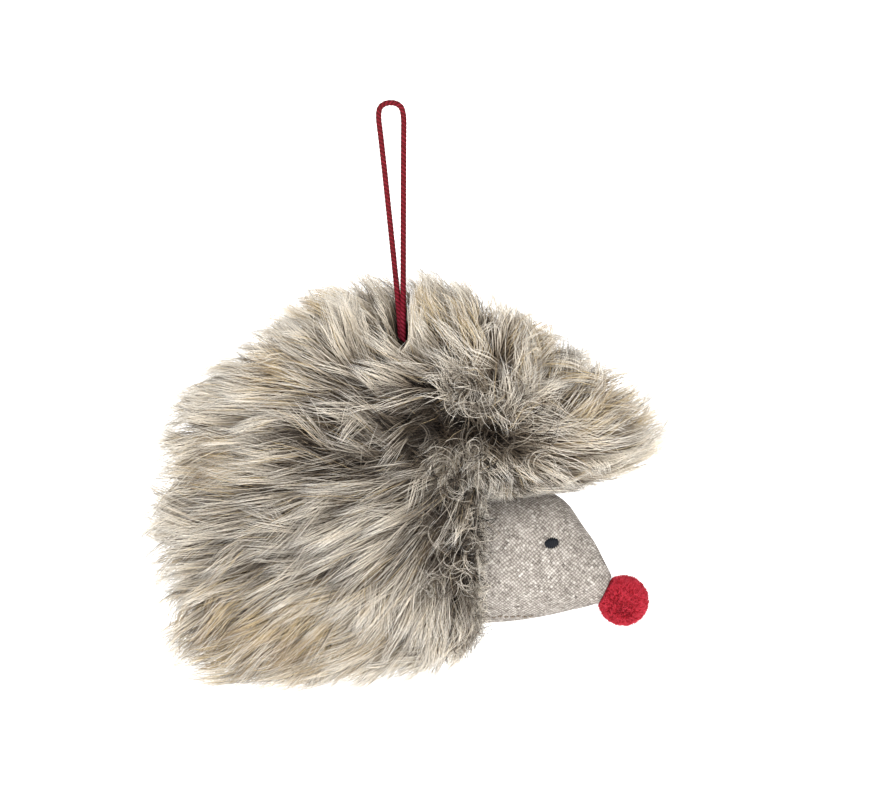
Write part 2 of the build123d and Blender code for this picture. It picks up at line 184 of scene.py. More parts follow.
@dataclass(frozen=True)
class Outline:
    """A closed side outline, in shares of its length and height about the middle.

    Each stretch is an end and a point that its arc goes through, or an end alone for a line.
    """

    start: Pair
    stretches: tuple[tuple[Pair, Pair | None], ...]
    length: float
    height: float
    steps: int = 24

    def walk(self) -> Array:
        """The outline's points as (x, z), evenly spaced on each stretch."""
        scale = np.array((self.length, self.height))
        last = np.array(self.start) * scale
        found = []
        for corner, through in self.stretches:
            end = np.array(corner) * scale
            if through is None:
                found.append(last + (end - last) * np.arange(self.steps)[:, None] / self.steps)
            else:
                found.append(arc_points(last, np.array(through) * scale, end, self.steps))
            last = end
        return np.concatenate(found) + MIDDLE


@dataclass
class SwollenForm:
    """A stuffed form: a side outline carried over like the meridians of a ball.

    At the turn angle psi the outline is drawn cos(psi) times its size about the widest place, and lies
    sin(psi) times the half width to the side.
    """

    outline: Outline
    half_width: float
    ring: Array = field(init=False)
    reach_angles: Array = field(init=False)
    reaches: Array = field(init=False)

    def __post_init__(self) -> None:
        """Keeps the outline as a closed ring by its share of the length round it, and as reach by angle."""
        walked = self.outline.walk()
        self.ring = np.concatenate((walked, walked[:1]))
        beside = walked - WIDEST
        angles = np.arctan2(beside[:, 1], beside[:, 0])
        order = np.argsort(angles)
        self.reach_angles, self.reaches = angles[order], np.linalg.norm(beside, axis=1)[order]

    def on_ring(self, around: Array) -> Array:
        """The outline's point at each share of the way round it."""
        return at_lengths(self.ring, (around % 1) * lengths_up_to(self.ring)[-1])

    def stretch_share(self, number: int) -> float:
        """The share of the way round at which a stretch of the outline starts."""
        lengths = lengths_up_to(self.ring)
        return float(lengths[number * self.outline.steps] / lengths[-1])

    def place(self, around: Array, psi: Array, grow: float = 0.0) -> Array:
        """Points of the form.

        X and Z are those of widest + (outline - widest) cos(psi), and Y is the half width times sin(psi).

        Args:
            around: shares of the way round the outline.
            psi: turn angles in radians, below 0 on the animal's right.
            grow: how far the points are moved out along the normal.

        Returns:
            The points, with (x, y, z) last.
        """
        flat = (self.on_ring(around) - WIDEST) * np.cos(psi)[..., None] + WIDEST
        points = np.stack((flat[..., 0], self.half_width * np.sin(psi), flat[..., 1]), axis=-1)
        return points + grow * self.normal(around, psi) if grow else points

    def normal(self, around: Array, psi: Array) -> Array:
        """The way out of the form: the cross product of its slopes along the outline and over the turn."""
        small = 0.004
        along = self.on_ring(around + small) - self.on_ring(around - small)
        beside = self.on_ring(around) - WIDEST
        zero = np.zeros_like(psi)
        first = np.stack((along[..., 0], zero, along[..., 1]), axis=-1)
        turned = -beside * np.sin(psi)[..., None]
        second = np.stack((turned[..., 0], self.half_width * np.cos(psi), turned[..., 1]), axis=-1)
        return unit(np.cross(first, second))

    def gauge(self, points: Array) -> Array:
        """How far out points are: 0 at the widest place and 1 on the form, the root of two squared shares."""
        beside = points[..., (0, 2)] - WIDEST
        angle = np.arctan2(beside[..., 1], beside[..., 0])
        reach = np.interp(angle, self.reach_angles, self.reaches, period=2 * math.pi)
        flat = np.linalg.norm(beside, axis=-1) / reach
        return np.sqrt(flat**2 + (points[..., 1] / self.half_width) ** 2)


@dataclass(frozen=True)
class HeadForm:
    """The linen head, whose sections are two bows that meet in a seam on top and one underneath."""

    start: Triple = (23.646, 0.0, -147.643)
    length: float = 39.9
    height: float = 37.6
    half_width: float = 16.5
    snout_end: Triple = (60.99, 0.0, -137.94)
    snout_out: Triple = (0.9026, 0.0, -0.4305)
    # The share of the length, then the shares of the heights of the top and bottom and of the half width
    sections: tuple[Patch, ...] = (
        (-0.243, 0.939, 0.015, 0.94),
        (0.0, 1.0, 0.0, 1.0),
        (0.329, 1.03, 0.019, 0.95),
        (0.546, 1.008, 0.057, 0.84),
        (0.686, 0.898, 0.091, 0.72),
        (0.779, 0.75, 0.114, 0.60),
        (0.864, 0.621, 0.14, 0.475),
        (0.943, 0.455, 0.159, 0.32),
        (1.0, 0.341, 0.182, 0.17),
    )

    def bow(self, along: Array, inset: float = 0.0) -> tuple[Array, Array, Array, Array]:
        """The bow of a section.

        Args:
            along: shares of the head's length.
            inset: how far inside the cloth's face.

        Returns:
            The bow's radius, the height of its middle, how far it stands out, and its half angle.
        """
        knots, tops, bottoms, widths = np.array(self.sections).T
        high = self.start[2] + eased(knots, tops, along) * self.height - inset
        low = self.start[2] + eased(knots, bottoms, along) * self.height + inset
        out = np.maximum(eased(knots, widths, along) * self.half_width - inset, 0.2)
        half = np.maximum((high - low) / 2, 0.2)
        radius = (half**2 + out**2) / (2 * out)
        return radius, (high + low) / 2, out, np.arctan2(half, radius - out)

    def place(self, along: Array, turn: Array, side: Side, inset: float = 0.0, groove: float = 0.0) -> Array:
        """Points of the cloth: on the bow's circle, at turn times its half angle, drawn in beside the seams.

        Args:
            along: shares of the head's length.
            turn: -1 at the lower seam to 1 at the upper seam.
            side: which panel.
            inset: how far inside the cloth's face.
            groove: how far the cloth is drawn in at its seams.

        Returns:
            The points, with (x, y, z) last.
        """
        radius, middle, out, half_angle = self.bow(along, inset)
        angle = turn * half_angle
        drawn = groove * np.exp(-(((half_angle - np.abs(angle)) * radius / 0.8) ** 2))
        points = np.stack(
            (
                self.start[0] + along * self.length,
                side.value * np.maximum((radius - drawn) * np.cos(angle) + out - radius, 0.02),
                middle + (radius - drawn) * np.sin(angle),
            ),
            axis=-1,
        )
        past = np.maximum((points - np.array(self.snout_end)) @ np.array(self.snout_out) + inset, 0)
        return points - past[..., None] * np.array(self.snout_out)

    def cloth_lengths(self, along: Array, turn: Array) -> Array:
        """Lengths along the head, and round the bow from the level of the snout, in millimetres."""
        radius, middle, _, half_angle = self.bow(along)
        level = np.arcsin(np.clip((self.snout_end[2] - middle) / radius, -1, 1))
        return np.stack((along * self.length, (turn * half_angle - level) * radius), axis=-1)

    def lay_on(self, points: Array, side: Array, clear: float) -> Array:
        """Moves points that lie inside the head straight out to the side, until they lie on its cloth."""
        along = (points[..., 0] - self.start[0]) / self.length
        radius, middle, out, _ = self.bow(np.clip(along, self.sections[0][0], 1))
        above = points[..., 2] - middle
        reach = np.sqrt(np.maximum(radius**2 - above**2, 0)) + out - radius
        inside = (along > -0.24) & (along < 1) & (reach > 0)
        off = np.abs(points[..., 1])
        lain = np.where(inside, np.maximum(off, reach + clear), off)
        sign = np.where(inside, side, np.sign(points[..., 1]))
        return np.stack((points[..., 0], sign * lain, points[..., 2]), axis=-1)


# Meshes


def lay_mesh(
    name: str,
    points: Array,
    faces: Sequence[Array],
    uv: Sequence[Array] | None = None,
    uv_name: str = "cloth",
) -> bpy.types.Object:
    """Puts points and faces into a new smooth mesh.

    Args:
        name: the piece's name.
        points: an array of (n, 3), in millimetres.
        faces: arrays of corner numbers, one row to a face, each array with its own number of corners.
        uv: for each array of faces, its corners' places on the map.
        uv_name: the map's name.

    Returns:
        The object, at the origin.
    """
    corners = np.concatenate([rows.ravel() for rows in faces])
    sizes = np.concatenate([np.full(len(rows), rows.shape[1]) for rows in faces])
    starts = np.concatenate(([0], np.cumsum(sizes)[:-1]))
    mesh = bpy.data.meshes.new(name)
    mesh.vertices.add(len(points))
    mesh.vertices.foreach_set("co", (points * MM).astype(np.float32).ravel())
    mesh.loops.add(len(corners))
    mesh.loops.foreach_set("vertex_index", corners.astype(np.int32))
    mesh.polygons.add(len(sizes))
    mesh.polygons.foreach_set("loop_start", starts.astype(np.int32))
    mesh.polygons.foreach_set("use_smooth", np.ones(len(sizes), bool))
    if uv is not None:
        places = np.concatenate([rows.reshape(-1, 2) for rows in uv])
        mesh.uv_layers.new(name=uv_name).uv.foreach_set("vector", places.astype(np.float32).ravel())
    mesh.update(calc_edges=True)
    mesh.validate()
    piece = bpy.data.objects.new(name, mesh)
    bpy.context.scene.collection.objects.link(piece)
    return piece


def facing_out(points: Array, faces: Sequence[Array]) -> list[Array]:
    """The faces, turned over if they enclose the points' form inside out, by the sign of its volume."""
    volume = 0.0
    for rows in faces:
        for second in range(1, rows.shape[1] - 1):
            a, b, c = points[rows[:, 0]], points[rows[:, second]], points[rows[:, second + 1]]
            volume += float((a * np.cross(b, c)).sum())
    return [rows if volume > 0 else rows[:, ::-1] for rows in faces]


def ball_faces(rings: int, spokes: int) -> list[Array]:
    """Faces of a form like a ball: rings of points that close round, then one point at each pole.

    Args:
        rings: how many rings, from pole to pole.
        spokes: how many points on a ring.

    Returns:
        The quads between rings, and the triangles round each pole.
    """
    ring, spoke = np.meshgrid(np.arange(rings - 1), np.arange(spokes), indexing="ij")
    here, beside = ring * spokes + spoke, ring * spokes + (spoke + 1) % spokes
    quads = np.stack((here, beside, beside + spokes, here + spokes), axis=-1).reshape(-1, 4)
    first, after = np.arange(spokes), (np.arange(spokes) + 1) % spokes
    low, high = rings * spokes, rings * spokes + 1
    last = (rings - 1) * spokes
    near = np.stack((after, first, np.full(spokes, low)), axis=-1)
    far = np.stack((last + first, last + after, np.full(spokes, high)), axis=-1)
    return [quads, np.concatenate((near, far))]


def shell_mesh(name: str, outer: Array, inner: Array, lengths: Array | None = None) -> bpy.types.Object:
    """A cloth with two faces and a rim, from two grids of points.

    Args:
        name: the piece's name.
        outer: the outer face's points, (rows, columns, 3).
        inner: the inner face's, in the same order.
        lengths: places on the cloth's map, (rows, columns, 2).

    Returns:
        The object.
    """
    rows, columns = outer.shape[:2]
    number = np.arange(rows * columns).reshape(rows, columns)
    face = np.stack((number[:-1, :-1], number[:-1, 1:], number[1:, 1:], number[1:, :-1]), axis=-1)
    face = face.reshape(-1, 4)
    rim = np.concatenate((number[0, :], number[1:, -1], number[-1, -2::-1], number[-2:0:-1, 0]))
    after = np.roll(rim, -1)
    other = rows * columns
    edge = np.stack((after, rim, rim + other, after + other), axis=-1)
    quads = np.concatenate((face, face[:, ::-1] + other, edge))
    points = np.concatenate((outer.reshape(-1, 3), inner.reshape(-1, 3)))
    quads = facing_out(points, [quads])[0]
    uv = None
    if lengths is not None:
        uv = [np.concatenate((lengths.reshape(-1, 2), lengths.reshape(-1, 2)))[quads]]
    return lay_mesh(name, points, [quads], uv)


def tube_mesh(name: str, rings: Array, ends: Array, lengths: Array | None = None) -> bpy.types.Object:
    """A closed tube from rings of points, with a point at each end.

    Args:
        name: the piece's name.
        rings: the points, (rings, spokes, 3).
        ends: the two end points, (2, 3).
        lengths: each ring's length along the tube, for its map.

    Returns:
        The object.
    """
    count, spokes = rings.shape[:2]
    faces = ball_faces(count, spokes)
    points = np.concatenate((rings.reshape(-1, 3), ends))
    faces = facing_out(points, faces)
    if lengths is None:
        return lay_mesh(name, points, faces)
    along = np.concatenate((np.repeat(lengths, spokes), lengths[[0, -1]]))
    around = np.concatenate((np.tile(np.arange(spokes) / spokes, count), (0.5, 0.5)))
    uv = []
    for rows in faces:
        turned = around[rows]
        turned = np.where((turned.max(1) - turned.min(1) > 0.5)[:, None] & (turned < 0.4), turned + 1, turned)
        uv.append(np.stack((along[rows], turned), axis=-1))
    return lay_mesh(name, points, faces, uv)


@dataclass
class Strands:
    """Strands of pile: the points of each, half thicknesses, tones and ways that they don't run in.

    The points are an array of (strands, points, 3), with the tip last, and the half thicknesses one of
    (strands, points - 1). A tone goes from 0 to 1.
    """

    lines: Array
    radii: Array
    tones: Array
    beside: Array

    def some(self, part: Array) -> "Strands":
        """The strands that are marked or numbered in part."""
        return Strands(self.lines[part], self.radii[part], self.tones[part], self.beside[part])


def strand_mesh(name: str, strands: Strands, span: Pair = (0.0, 1.0)) -> bpy.types.Object:
    """Many three-sided strands in one mesh, each closed at its root and drawn to a point at its tip.

    A strand's map is a narrow upright strip: across it lies the strand's tone, and up it the way to the
    tip.

    Args:
        name: the piece's name.
        strands: the strands.
        span: how far up the finish's colours the roots and the tips lie.

    Returns:
        The object.
    """
    lines = strands.lines
    many, count = lines.shape[:2]
    rings = count - 1
    ways = unit(np.gradient(lines, axis=1))[:, :rings]
    first = unit(np.cross(ways, strands.beside[:, None, :]))
    second = np.cross(ways, first)
    turn = 2 * math.pi * np.arange(3) / 3
    ring = first[:, :, None] * np.cos(turn)[:, None] + second[:, :, None] * np.sin(turn)[:, None]
    body = lines[:, :rings, None] + strands.radii[:, :, None, None] * ring
    points = np.concatenate((body.reshape(many, -1, 3), lines[:, -1:]), axis=1)
    level, spoke = (grid.ravel() for grid in np.meshgrid(np.arange(rings - 1), np.arange(3), indexing="ij"))
    after = (spoke + 1) % 3
    low = level * 3
    quads = np.stack((low + spoke, low + after, low + 3 + after, low + 3 + spoke), axis=-1)
    last = 3 * (rings - 1)
    tips = np.array([(last + n, last + (n + 1) % 3, 3 * rings) for n in range(3)])
    root = np.array([(2, 1, 0)])
    starts = (np.arange(many) * (3 * rings + 1))[:, None, None]
    faces = [(starts + rows).reshape(-1, rows.shape[1]) for rows in (quads, np.concatenate((tips, root)))]
    reach = np.linspace(*span, count)
    strip = 0.006
    sides = (spoke - 1.5) * strip
    quad_u = np.stack((sides, sides + strip, sides + strip, sides), axis=-1)
    quad_v = np.stack((reach[level], reach[level], reach[level + 1], reach[level + 1]), axis=-1)
    corners = [((n - 1.5) * strip, (n - 0.5) * strip, (n - 1) * strip) for n in range(3)]
    tip_u = np.array([*corners, (-strip, strip, 0)])
    low_v = (reach[0], reach[0], 0.75 * reach[0] + 0.25 * reach[1])
    tip_v = np.array([(reach[-2], reach[-2], reach[-1])] * 3 + [low_v])
    uv = []
    for u, v in ((quad_u, quad_v), (tip_u, tip_v)):
        both = np.stack((strands.tones[:, None, None] + u, np.broadcast_to(v, (many, *v.shape))), axis=-1)
        uv.append(both.reshape(-1, v.shape[1], 2))
    return lay_mesh(name, points.reshape(-1, 3), faces, uv, "OFBake")


# Finishes


def from_hex(colour: str) -> tuple[float, float, float, float]:
    """A screen colour such as c8bfae as linear red, green and blue, with alpha 1."""
    parts = [int(colour[at : at + 2], 16) / 255 for at in (0, 2, 4)]
    linear = [part / 12.92 if part <= 0.04045 else ((part + 0.055) / 1.055) ** 2.4 for part in parts]
    return (*linear, 1.0)


Value = "Socket | float | tuple | bpy.types.NodeSocket"


def math_method(operation: str, turned: bool = False) -> Callable[..., "Socket"]:
    """Makes a method of a socket that adds a Math node.

    Args:
        operation: the Math node's operation.
        turned: whether the other value comes first.

    Returns:
        The method. It takes the other value, unless the operation needs one value only.
    """

    def method(socket: "Socket", other: Value = 0.0) -> "Socket":
        """Adds the node on the socket and the other value."""
        return socket.math(operation, *((other, socket) if turned else (socket, other)))

    return method


@dataclass
class Socket:
    """A node's output, on which Python's operators add Math nodes."""

    shader: "Shader"
    out: bpy.types.NodeSocket

    def math(self, operation: str, first: Value, second: Value) -> "Socket":
        """Adds one Math node on two values."""
        return self.shader.node("ShaderNodeMath", {"operation": operation}, {0: first, 1: second})

    __add__ = math_method("ADD")
    __sub__ = math_method("SUBTRACT")
    __rsub__ = math_method("SUBTRACT", turned=True)
    __mul__ = math_method("MULTIPLY")
    __truediv__ = math_method("DIVIDE")
    __mod__ = math_method("FLOORED_MODULO")
    __pow__ = math_method("POWER")
    __gt__ = math_method("GREATER_THAN")
    at_least = math_method("MAXIMUM")
    sin = math_method("SINE")
    floor = math_method("FLOOR")
    abs = math_method("ABSOLUTE")


class Shader:
    """A material under way: it adds nodes and joins them to one Principled surface."""

    def __init__(self, name: str, roughness: float, specular: float = 0.5, **fixed: float | tuple) -> None:
        """Starts a material.

        Args:
            name: the material's name.
            roughness: the surface's roughness.
            specular: its specular level.
            **fixed: values of other sockets, by their names with _ for a space.
        """
        self.material = bpy.data.materials.new(name)
        self.material.use_nodes = True
        self.tree = self.material.node_tree
        self.tree.nodes.clear()
        self.surface = self.tree.nodes.new("ShaderNodeBsdfPrincipled")
        output = self.tree.nodes.new("ShaderNodeOutputMaterial")
        self.tree.links.new(self.surface.outputs[0], output.inputs["Surface"])
        self.set("Roughness", roughness)
        self.set("Specular IOR Level", specular)
        for socket, value in fixed.items():
            self.set(socket.replace("_", " "), value)

    def set(self, socket: str, value: Value) -> None:
        """Sets one of the surface's sockets to a value, or joins a node to it."""
        self._fill(self.surface.inputs[socket], value)

    def _fill(self, socket: bpy.types.NodeSocket, value: Value) -> None:
        """Joins a node's output to a socket, or writes a plain value into it."""
        if isinstance(value, Socket):
            self.tree.links.new(value.out, socket)
        else:
            socket.default_value = value

    def node(
        self, kind: str, settings: dict | None = None, values: dict | None = None, output: int | str = 0
    ) -> Socket:
        """Adds a node.

        Args:
            kind: the node's type.
            settings: its own settings, set first; "stops" are a ramp's places and colours.
            values: values or links of its sockets, by name or number.
            output: which output is wanted.

        Returns:
            That output.
        """
        made = self.tree.nodes.new(kind)
        for name, setting in (settings or {}).items():
            if name == "stops":
                ramp = made.color_ramp
                while len(ramp.elements) < len(setting):
                    ramp.elements.new(1.0)
                for element, (place, colour) in zip(ramp.elements, setting, strict=True):
                    element.position, element.color = place, from_hex(colour)
            else:
                setattr(made, name, setting)
        for socket, value in (values or {}).items():
            self._fill(made.inputs[socket], value)
        return Socket(self, made.outputs[output])

    def split(self, vector: Socket) -> tuple[Socket, Socket, Socket]:
        """The three parts of a vector."""
        first = self.node("ShaderNodeSeparateXYZ", values={0: vector})
        outputs = first.out.node.outputs
        return first, Socket(self, outputs[1]), Socket(self, outputs[2])

    def join(self, x: Value, y: Value, z: Value = 0.0) -> Socket:
        """A vector from three numbers."""
        return self.node("ShaderNodeCombineXYZ", values={0: x, 1: y, 2: z})

    def place(self) -> Socket:
        """The point on the object, in millimetres."""
        point = self.node("ShaderNodeTexCoord", output="Object")
        return self.node("ShaderNodeVectorMath", {"operation": "SCALE"}, {0: point, "Scale": 1 / MM})

    def map(self, name: str) -> tuple[Socket, Socket]:
        """The two parts of the piece's own map."""
        first, second, _ = self.split(self.node("ShaderNodeUVMap", {"uv_map": name}))
        return first, second

    def noise(self, at: Socket, scale: float, detail: float = 2.0, rough: float = 0.5) -> Socket:
        """Noise from 0 to 1 at a vector, with scale cells to the unit."""
        values = {"Vector": at, "Scale": scale, "Detail": detail, "Roughness": rough}
        return self.node("ShaderNodeTexNoise", values=values)

    def ramp(self, share: Value, *stops: tuple[float, str]) -> Socket:
        """A colour by a share, through given stops."""
        return self.node("ShaderNodeValToRGB", {"stops": stops}, {0: share})

    def blend(self, share: Value, first: Value, second: Value) -> Socket:
        """A colour between two, by a share."""
        settings = {"data_type": "RGBA", "clamp_factor": True}
        return self.node("ShaderNodeMix", settings, {0: share, 6: first, 7: second}, output=2)

    def bump(self, height: Socket, distance: float, strength: float = 1.0) -> None:
        """Raises the surface by a height, at most distance millimetres."""
        values = {"Height": height, "Distance": distance * MM, "Strength": strength}
        self.set("Normal", self.node("ShaderNodeBump", values=values))


@dataclass(frozen=True)
class PileFinish:
    """Faux fur: brown at the root, then taupe, then cream, with darker and tan-tipped strands by tone; the
    darker tone is partly painted shade.
    """

    name: str = "pile"
    dark: tuple[str, str, str, str] = ("0a0704", "1c150f", "392e23", "615340")
    cream: tuple[str, str, str, str] = ("281f17", "938572", "e9dfce", "fffbf3")
    tan: tuple[str, str, str, str] = ("281e14", "978467", "cdb88f", "846443")

    def make(self) -> bpy.types.Material:
        """Builds the material: three ramps up the strand, blended by its tone."""
        shader = Shader(self.name, roughness=0.55, specular=0.35)
        tone, up = shader.map("OFBake")
        places = (0.0, 0.36, 0.7, 1.0)
        kinds = (self.dark, self.cream, self.tan)
        dark, cream, tan = (shader.ramp(up, *zip(places, kind, strict=True)) for kind in kinds)
        lighter = shader.blend((tone - 0.1) / 0.5, dark, cream)
        shader.set("Base Color", shader.blend((tone - 0.74) / 0.16, lighter, tan))
        return shader.material


@dataclass(frozen=True)
class LinenFinish:
    """Coarse linen cut on the bias: plain weave of cream and grey-brown slubbed threads."""

    name: str = "linen"
    thread: float = 0.8

    def make(self) -> bpy.types.Material:
        """Builds the material: threads over and under by turns, each crown long along its own thread.

        At a crossing the height is the sine across the thread that lies over, times a low power of the
        sine along it. Height, each thread's slubs and each crossing's own tone add up to one share, which
        picks the colour; through the height the crowns get painted highlight and the hollows painted shade.
        """
        shader = Shader(self.name, roughness=0.9, specular=0.12)
        along, around = shader.map("cloth")
        flat = shader.join(along, around)
        step = 1 / (self.thread * math.sqrt(2))
        drift = shader.noise(flat, 0.13, 2.0) - 0.5
        other_drift = shader.noise(shader.join(along, around, 30.0), 0.15, 2.0) - 0.5
        warp = (along + around) * step + drift * 3.0
        weft = (along - around) * step + other_drift * 3.0
        over = ((warp.floor() + weft.floor()) % 2.0) > 0.5
        warp_wave, weft_wave = (warp % 1.0 * math.pi).sin(), (weft % 1.0 * math.pi).sin()
        height = over * warp_wave * weft_wave**0.4 + (1.0 - over) * weft_wave * warp_wave**0.4
        warp_slub = shader.noise(shader.join(warp.floor() * 7.3, weft * 0.35), 1.0, 1.0)
        weft_slub = shader.noise(shader.join(warp * 0.35, weft.floor() * 5.9, 4.0), 1.0, 1.0)
        slub = over * warp_slub + (1.0 - over) * weft_slub
        fleck = shader.noise(shader.join(warp.floor(), weft.floor(), 9.0), 3.1, 0.0)
        patch = shader.noise(flat, 0.25, 2.0)
        fuzz = shader.noise(flat, 1.5, 2.0, 0.6)
        # The height's share paints highlight on the thread crowns and shade in the hollows between threads
        share = height * 0.28 + slub * 0.42 + fleck * 0.4 + fuzz * 0.4 + patch * 0.2 - 0.455
        stops = ((0.12, "453f3a"), (0.36, "827b74"), (0.56, "aaa49c"), (0.85, "dedad4"))
        shader.set("Base Color", shader.ramp(share, *stops))
        shader.bump(height, 0.16, 0.6)
        return shader.material


@dataclass(frozen=True)
class YarnFinish:
    """Twisted yarn or thread: fine ridges that run at a slant, and a darker tone between them, painted shade
    in the grooves.
    """

    name: str
    low: str
    middle: str
    high: str
    ply: float = 0.3
    roughness: float = 0.6
    specular: float = 0.4

    def make(self) -> bpy.types.Material:
        """Builds the material from noise and slanting bands at the object's own coordinates."""
        shader = Shader(self.name, roughness=self.roughness, specular=self.specular)
        point = shader.place()
        x, y, z = shader.split(point)
        mottle = shader.noise(point, 1.6, 3.0, 0.6)
        band = ((x + y * 0.7 + z * 0.6) * (math.pi / self.ply) + mottle * 3.0).sin() * 0.5 + 0.5
        # Darker where the band is low between the ridges: painted shade in the grooves
        share = band * 0.45 + mottle * 0.6
        stops = ((0.2, self.low), (0.5, self.middle), (0.85, self.high))
        shader.set("Base Color", shader.ramp(share, *stops))
        shader.bump(band, 0.08 * self.ply)
        return shader.material


@dataclass(frozen=True)
class CordFinish:
    """Dark red twisted cord: painted shade in the valley between its plies, fibres along each ply, and ends
    painted paler as painted light against the shade where they sit in the fur.
    """

    name: str = "red_cord"
    # How far from each end the cord is painted paler: painted light against the shade of the fur slot round
    # its legs
    painted_lit_ends: float = 22.0

    def make(self) -> bpy.types.Material:
        """Builds the material on the tube's own map: the length along it and the share of a turn round it."""
        shader = Shader(self.name, roughness=0.75, specular=0.12)
        along, around = shader.map("cloth")
        turn = around * float(CORD_PLIES) + along * (CORD_PLIES / CORD_LAY)
        # The valley between the plies is darker: painted shade in the groove
        ply = (turn * math.pi).sin().abs()
        way = shader.join(turn * 5.0, along * 0.9 + around * 3.0, turn.floor() * 3.7)
        fibre = shader.noise(way, 1.4, 2.0)
        # Paler towards both ends: painted light against the shade where the legs sit deep in the fur
        painted_lit_ends = (1.0 - along / self.painted_lit_ends).at_least((along - CORD_LENGTH) / self.painted_lit_ends + 1.0)
        share = ply * 0.45 + fibre * 0.5 + painted_lit_ends.at_least(0.0) * 0.45
        stops = ((0.2, "3c070c"), (0.42, "4a0b10"), (0.65, "621017"), (0.9, "96263a"), (1.0, "b43a50"))
        shader.set("Base Color", shader.ramp(share, *stops))
        shader.bump(ply * 0.7 + fibre * 0.5, 0.08, 0.8)
        return shader.material


@dataclass(frozen=True)
class PompomFinish:
    """Short red yarn pile: deep red between the tufts, which is painted shade, and bright red at their ends.
    """

    name: str = "pompom_yarn"

    def make(self) -> bpy.types.Material:
        """Builds the material: three tones by strand, each darker towards the root as painted shade."""
        shader = Shader(self.name, roughness=0.7, specular=0.25)
        tone, up = shader.map("OFBake")
        # Darker towards the root: painted shade between the tufts
        low = shader.ramp(up, (0.0, "5c0512"), (0.55, "9a101f"), (1.0, "b01b2b"))
        high = shader.ramp(up, (0.0, "7c0b19"), (0.55, "c22536"), (1.0, "d8485b"))
        shader.set("Base Color", shader.blend(tone, low, high))
        return shader.material


@dataclass(frozen=True)
class SilkFinish:
    """Satin stitches of nearly black silk, with fine threads along each stitch."""

    name: str = "eye_silk"

    def make(self) -> bpy.types.Material:
        """Builds the material on the stitch's own map, with fibres that run along it."""
        shader = Shader(self.name, roughness=0.5, specular=0.2)
        along, around = shader.map("cloth")
        fibre = shader.noise(shader.join(along * 0.8, around * 14.0), 1.0, 2.0)
        shader.set("Base Color", shader.ramp(fibre, (0.3, "040508"), (0.6, "0d1119"), (0.85, "29313d")))
        shader.bump(fibre, 0.06)
        return shader.material


@dataclass(frozen=True)
class CoarseFinish:
    """A plain soft stuff that hardly shows: a felted filling, or the knitted back of the fur."""

    name: str
    low: str
    high: str
    grain: float

    def make(self) -> bpy.types.Material:
        """Builds the material from two scales of noise at the object's own coordinates."""
        shader = Shader(self.name, roughness=0.9, specular=0.15)
        point = shader.place()
        grain = shader.noise(point, 1 / self.grain, 3.0, 0.65)
        patch = shader.noise(point, 0.12, 2.0)
        shader.set("Base Color", shader.ramp(grain * 0.7 + patch * 0.4, (0.3, self.low), (0.75, self.high)))
        shader.bump(grain, 0.3 * self.grain)
        return shader.material


class Finishes:
    """Every finish, each made once."""

    def __init__(self) -> None:
        """Makes the materials."""
        kinds = (
            PileFinish(),
            LinenFinish(),
            CordFinish(),
            PompomFinish(),
            SilkFinish(),
            YarnFinish("brown_thread", "3c322a", "665a4d", "8f8272"),
            YarnFinish("red_thread", "5a0a14", "981824", "bc3440"),
            YarnFinish("sewing_thread", "4a3a30", "6b5848", "8d7a68", 0.25),
            YarnFinish("knot_cord", "4a0a16", "94202c", "c23448", 0.9),
            CoarseFinish("filling", "bdb7ac", "e6e1d8", 1.2),
            CoarseFinish("backing", "1d1712", "43382d", 0.7),
        )
        self.made = {kind.name: kind.make() for kind in kinds}

    def dress(self, piece: bpy.types.Object, finish: str) -> None:
        """Gives a new piece, or a node that shows, its finish."""
        if not piece.material_slots:
            piece.data.materials.append(self.made[finish])
        for place in piece.material_slots:
            place.material = self.made[finish]

    def fit(self, piece: bpy.types.Object, finish: str, body: str, node: str) -> bpy.types.Object:
        """Dresses a new piece and lets it take a node's place.

        Args:
            piece: the piece.
            finish: the finish's name.
            body: the body that it rides on.
            node: the node that it replaces.

        Returns:
            The piece.
        """
        self.dress(piece, finish)
        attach(piece, body)
        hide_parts(node)
        return piece


# The object


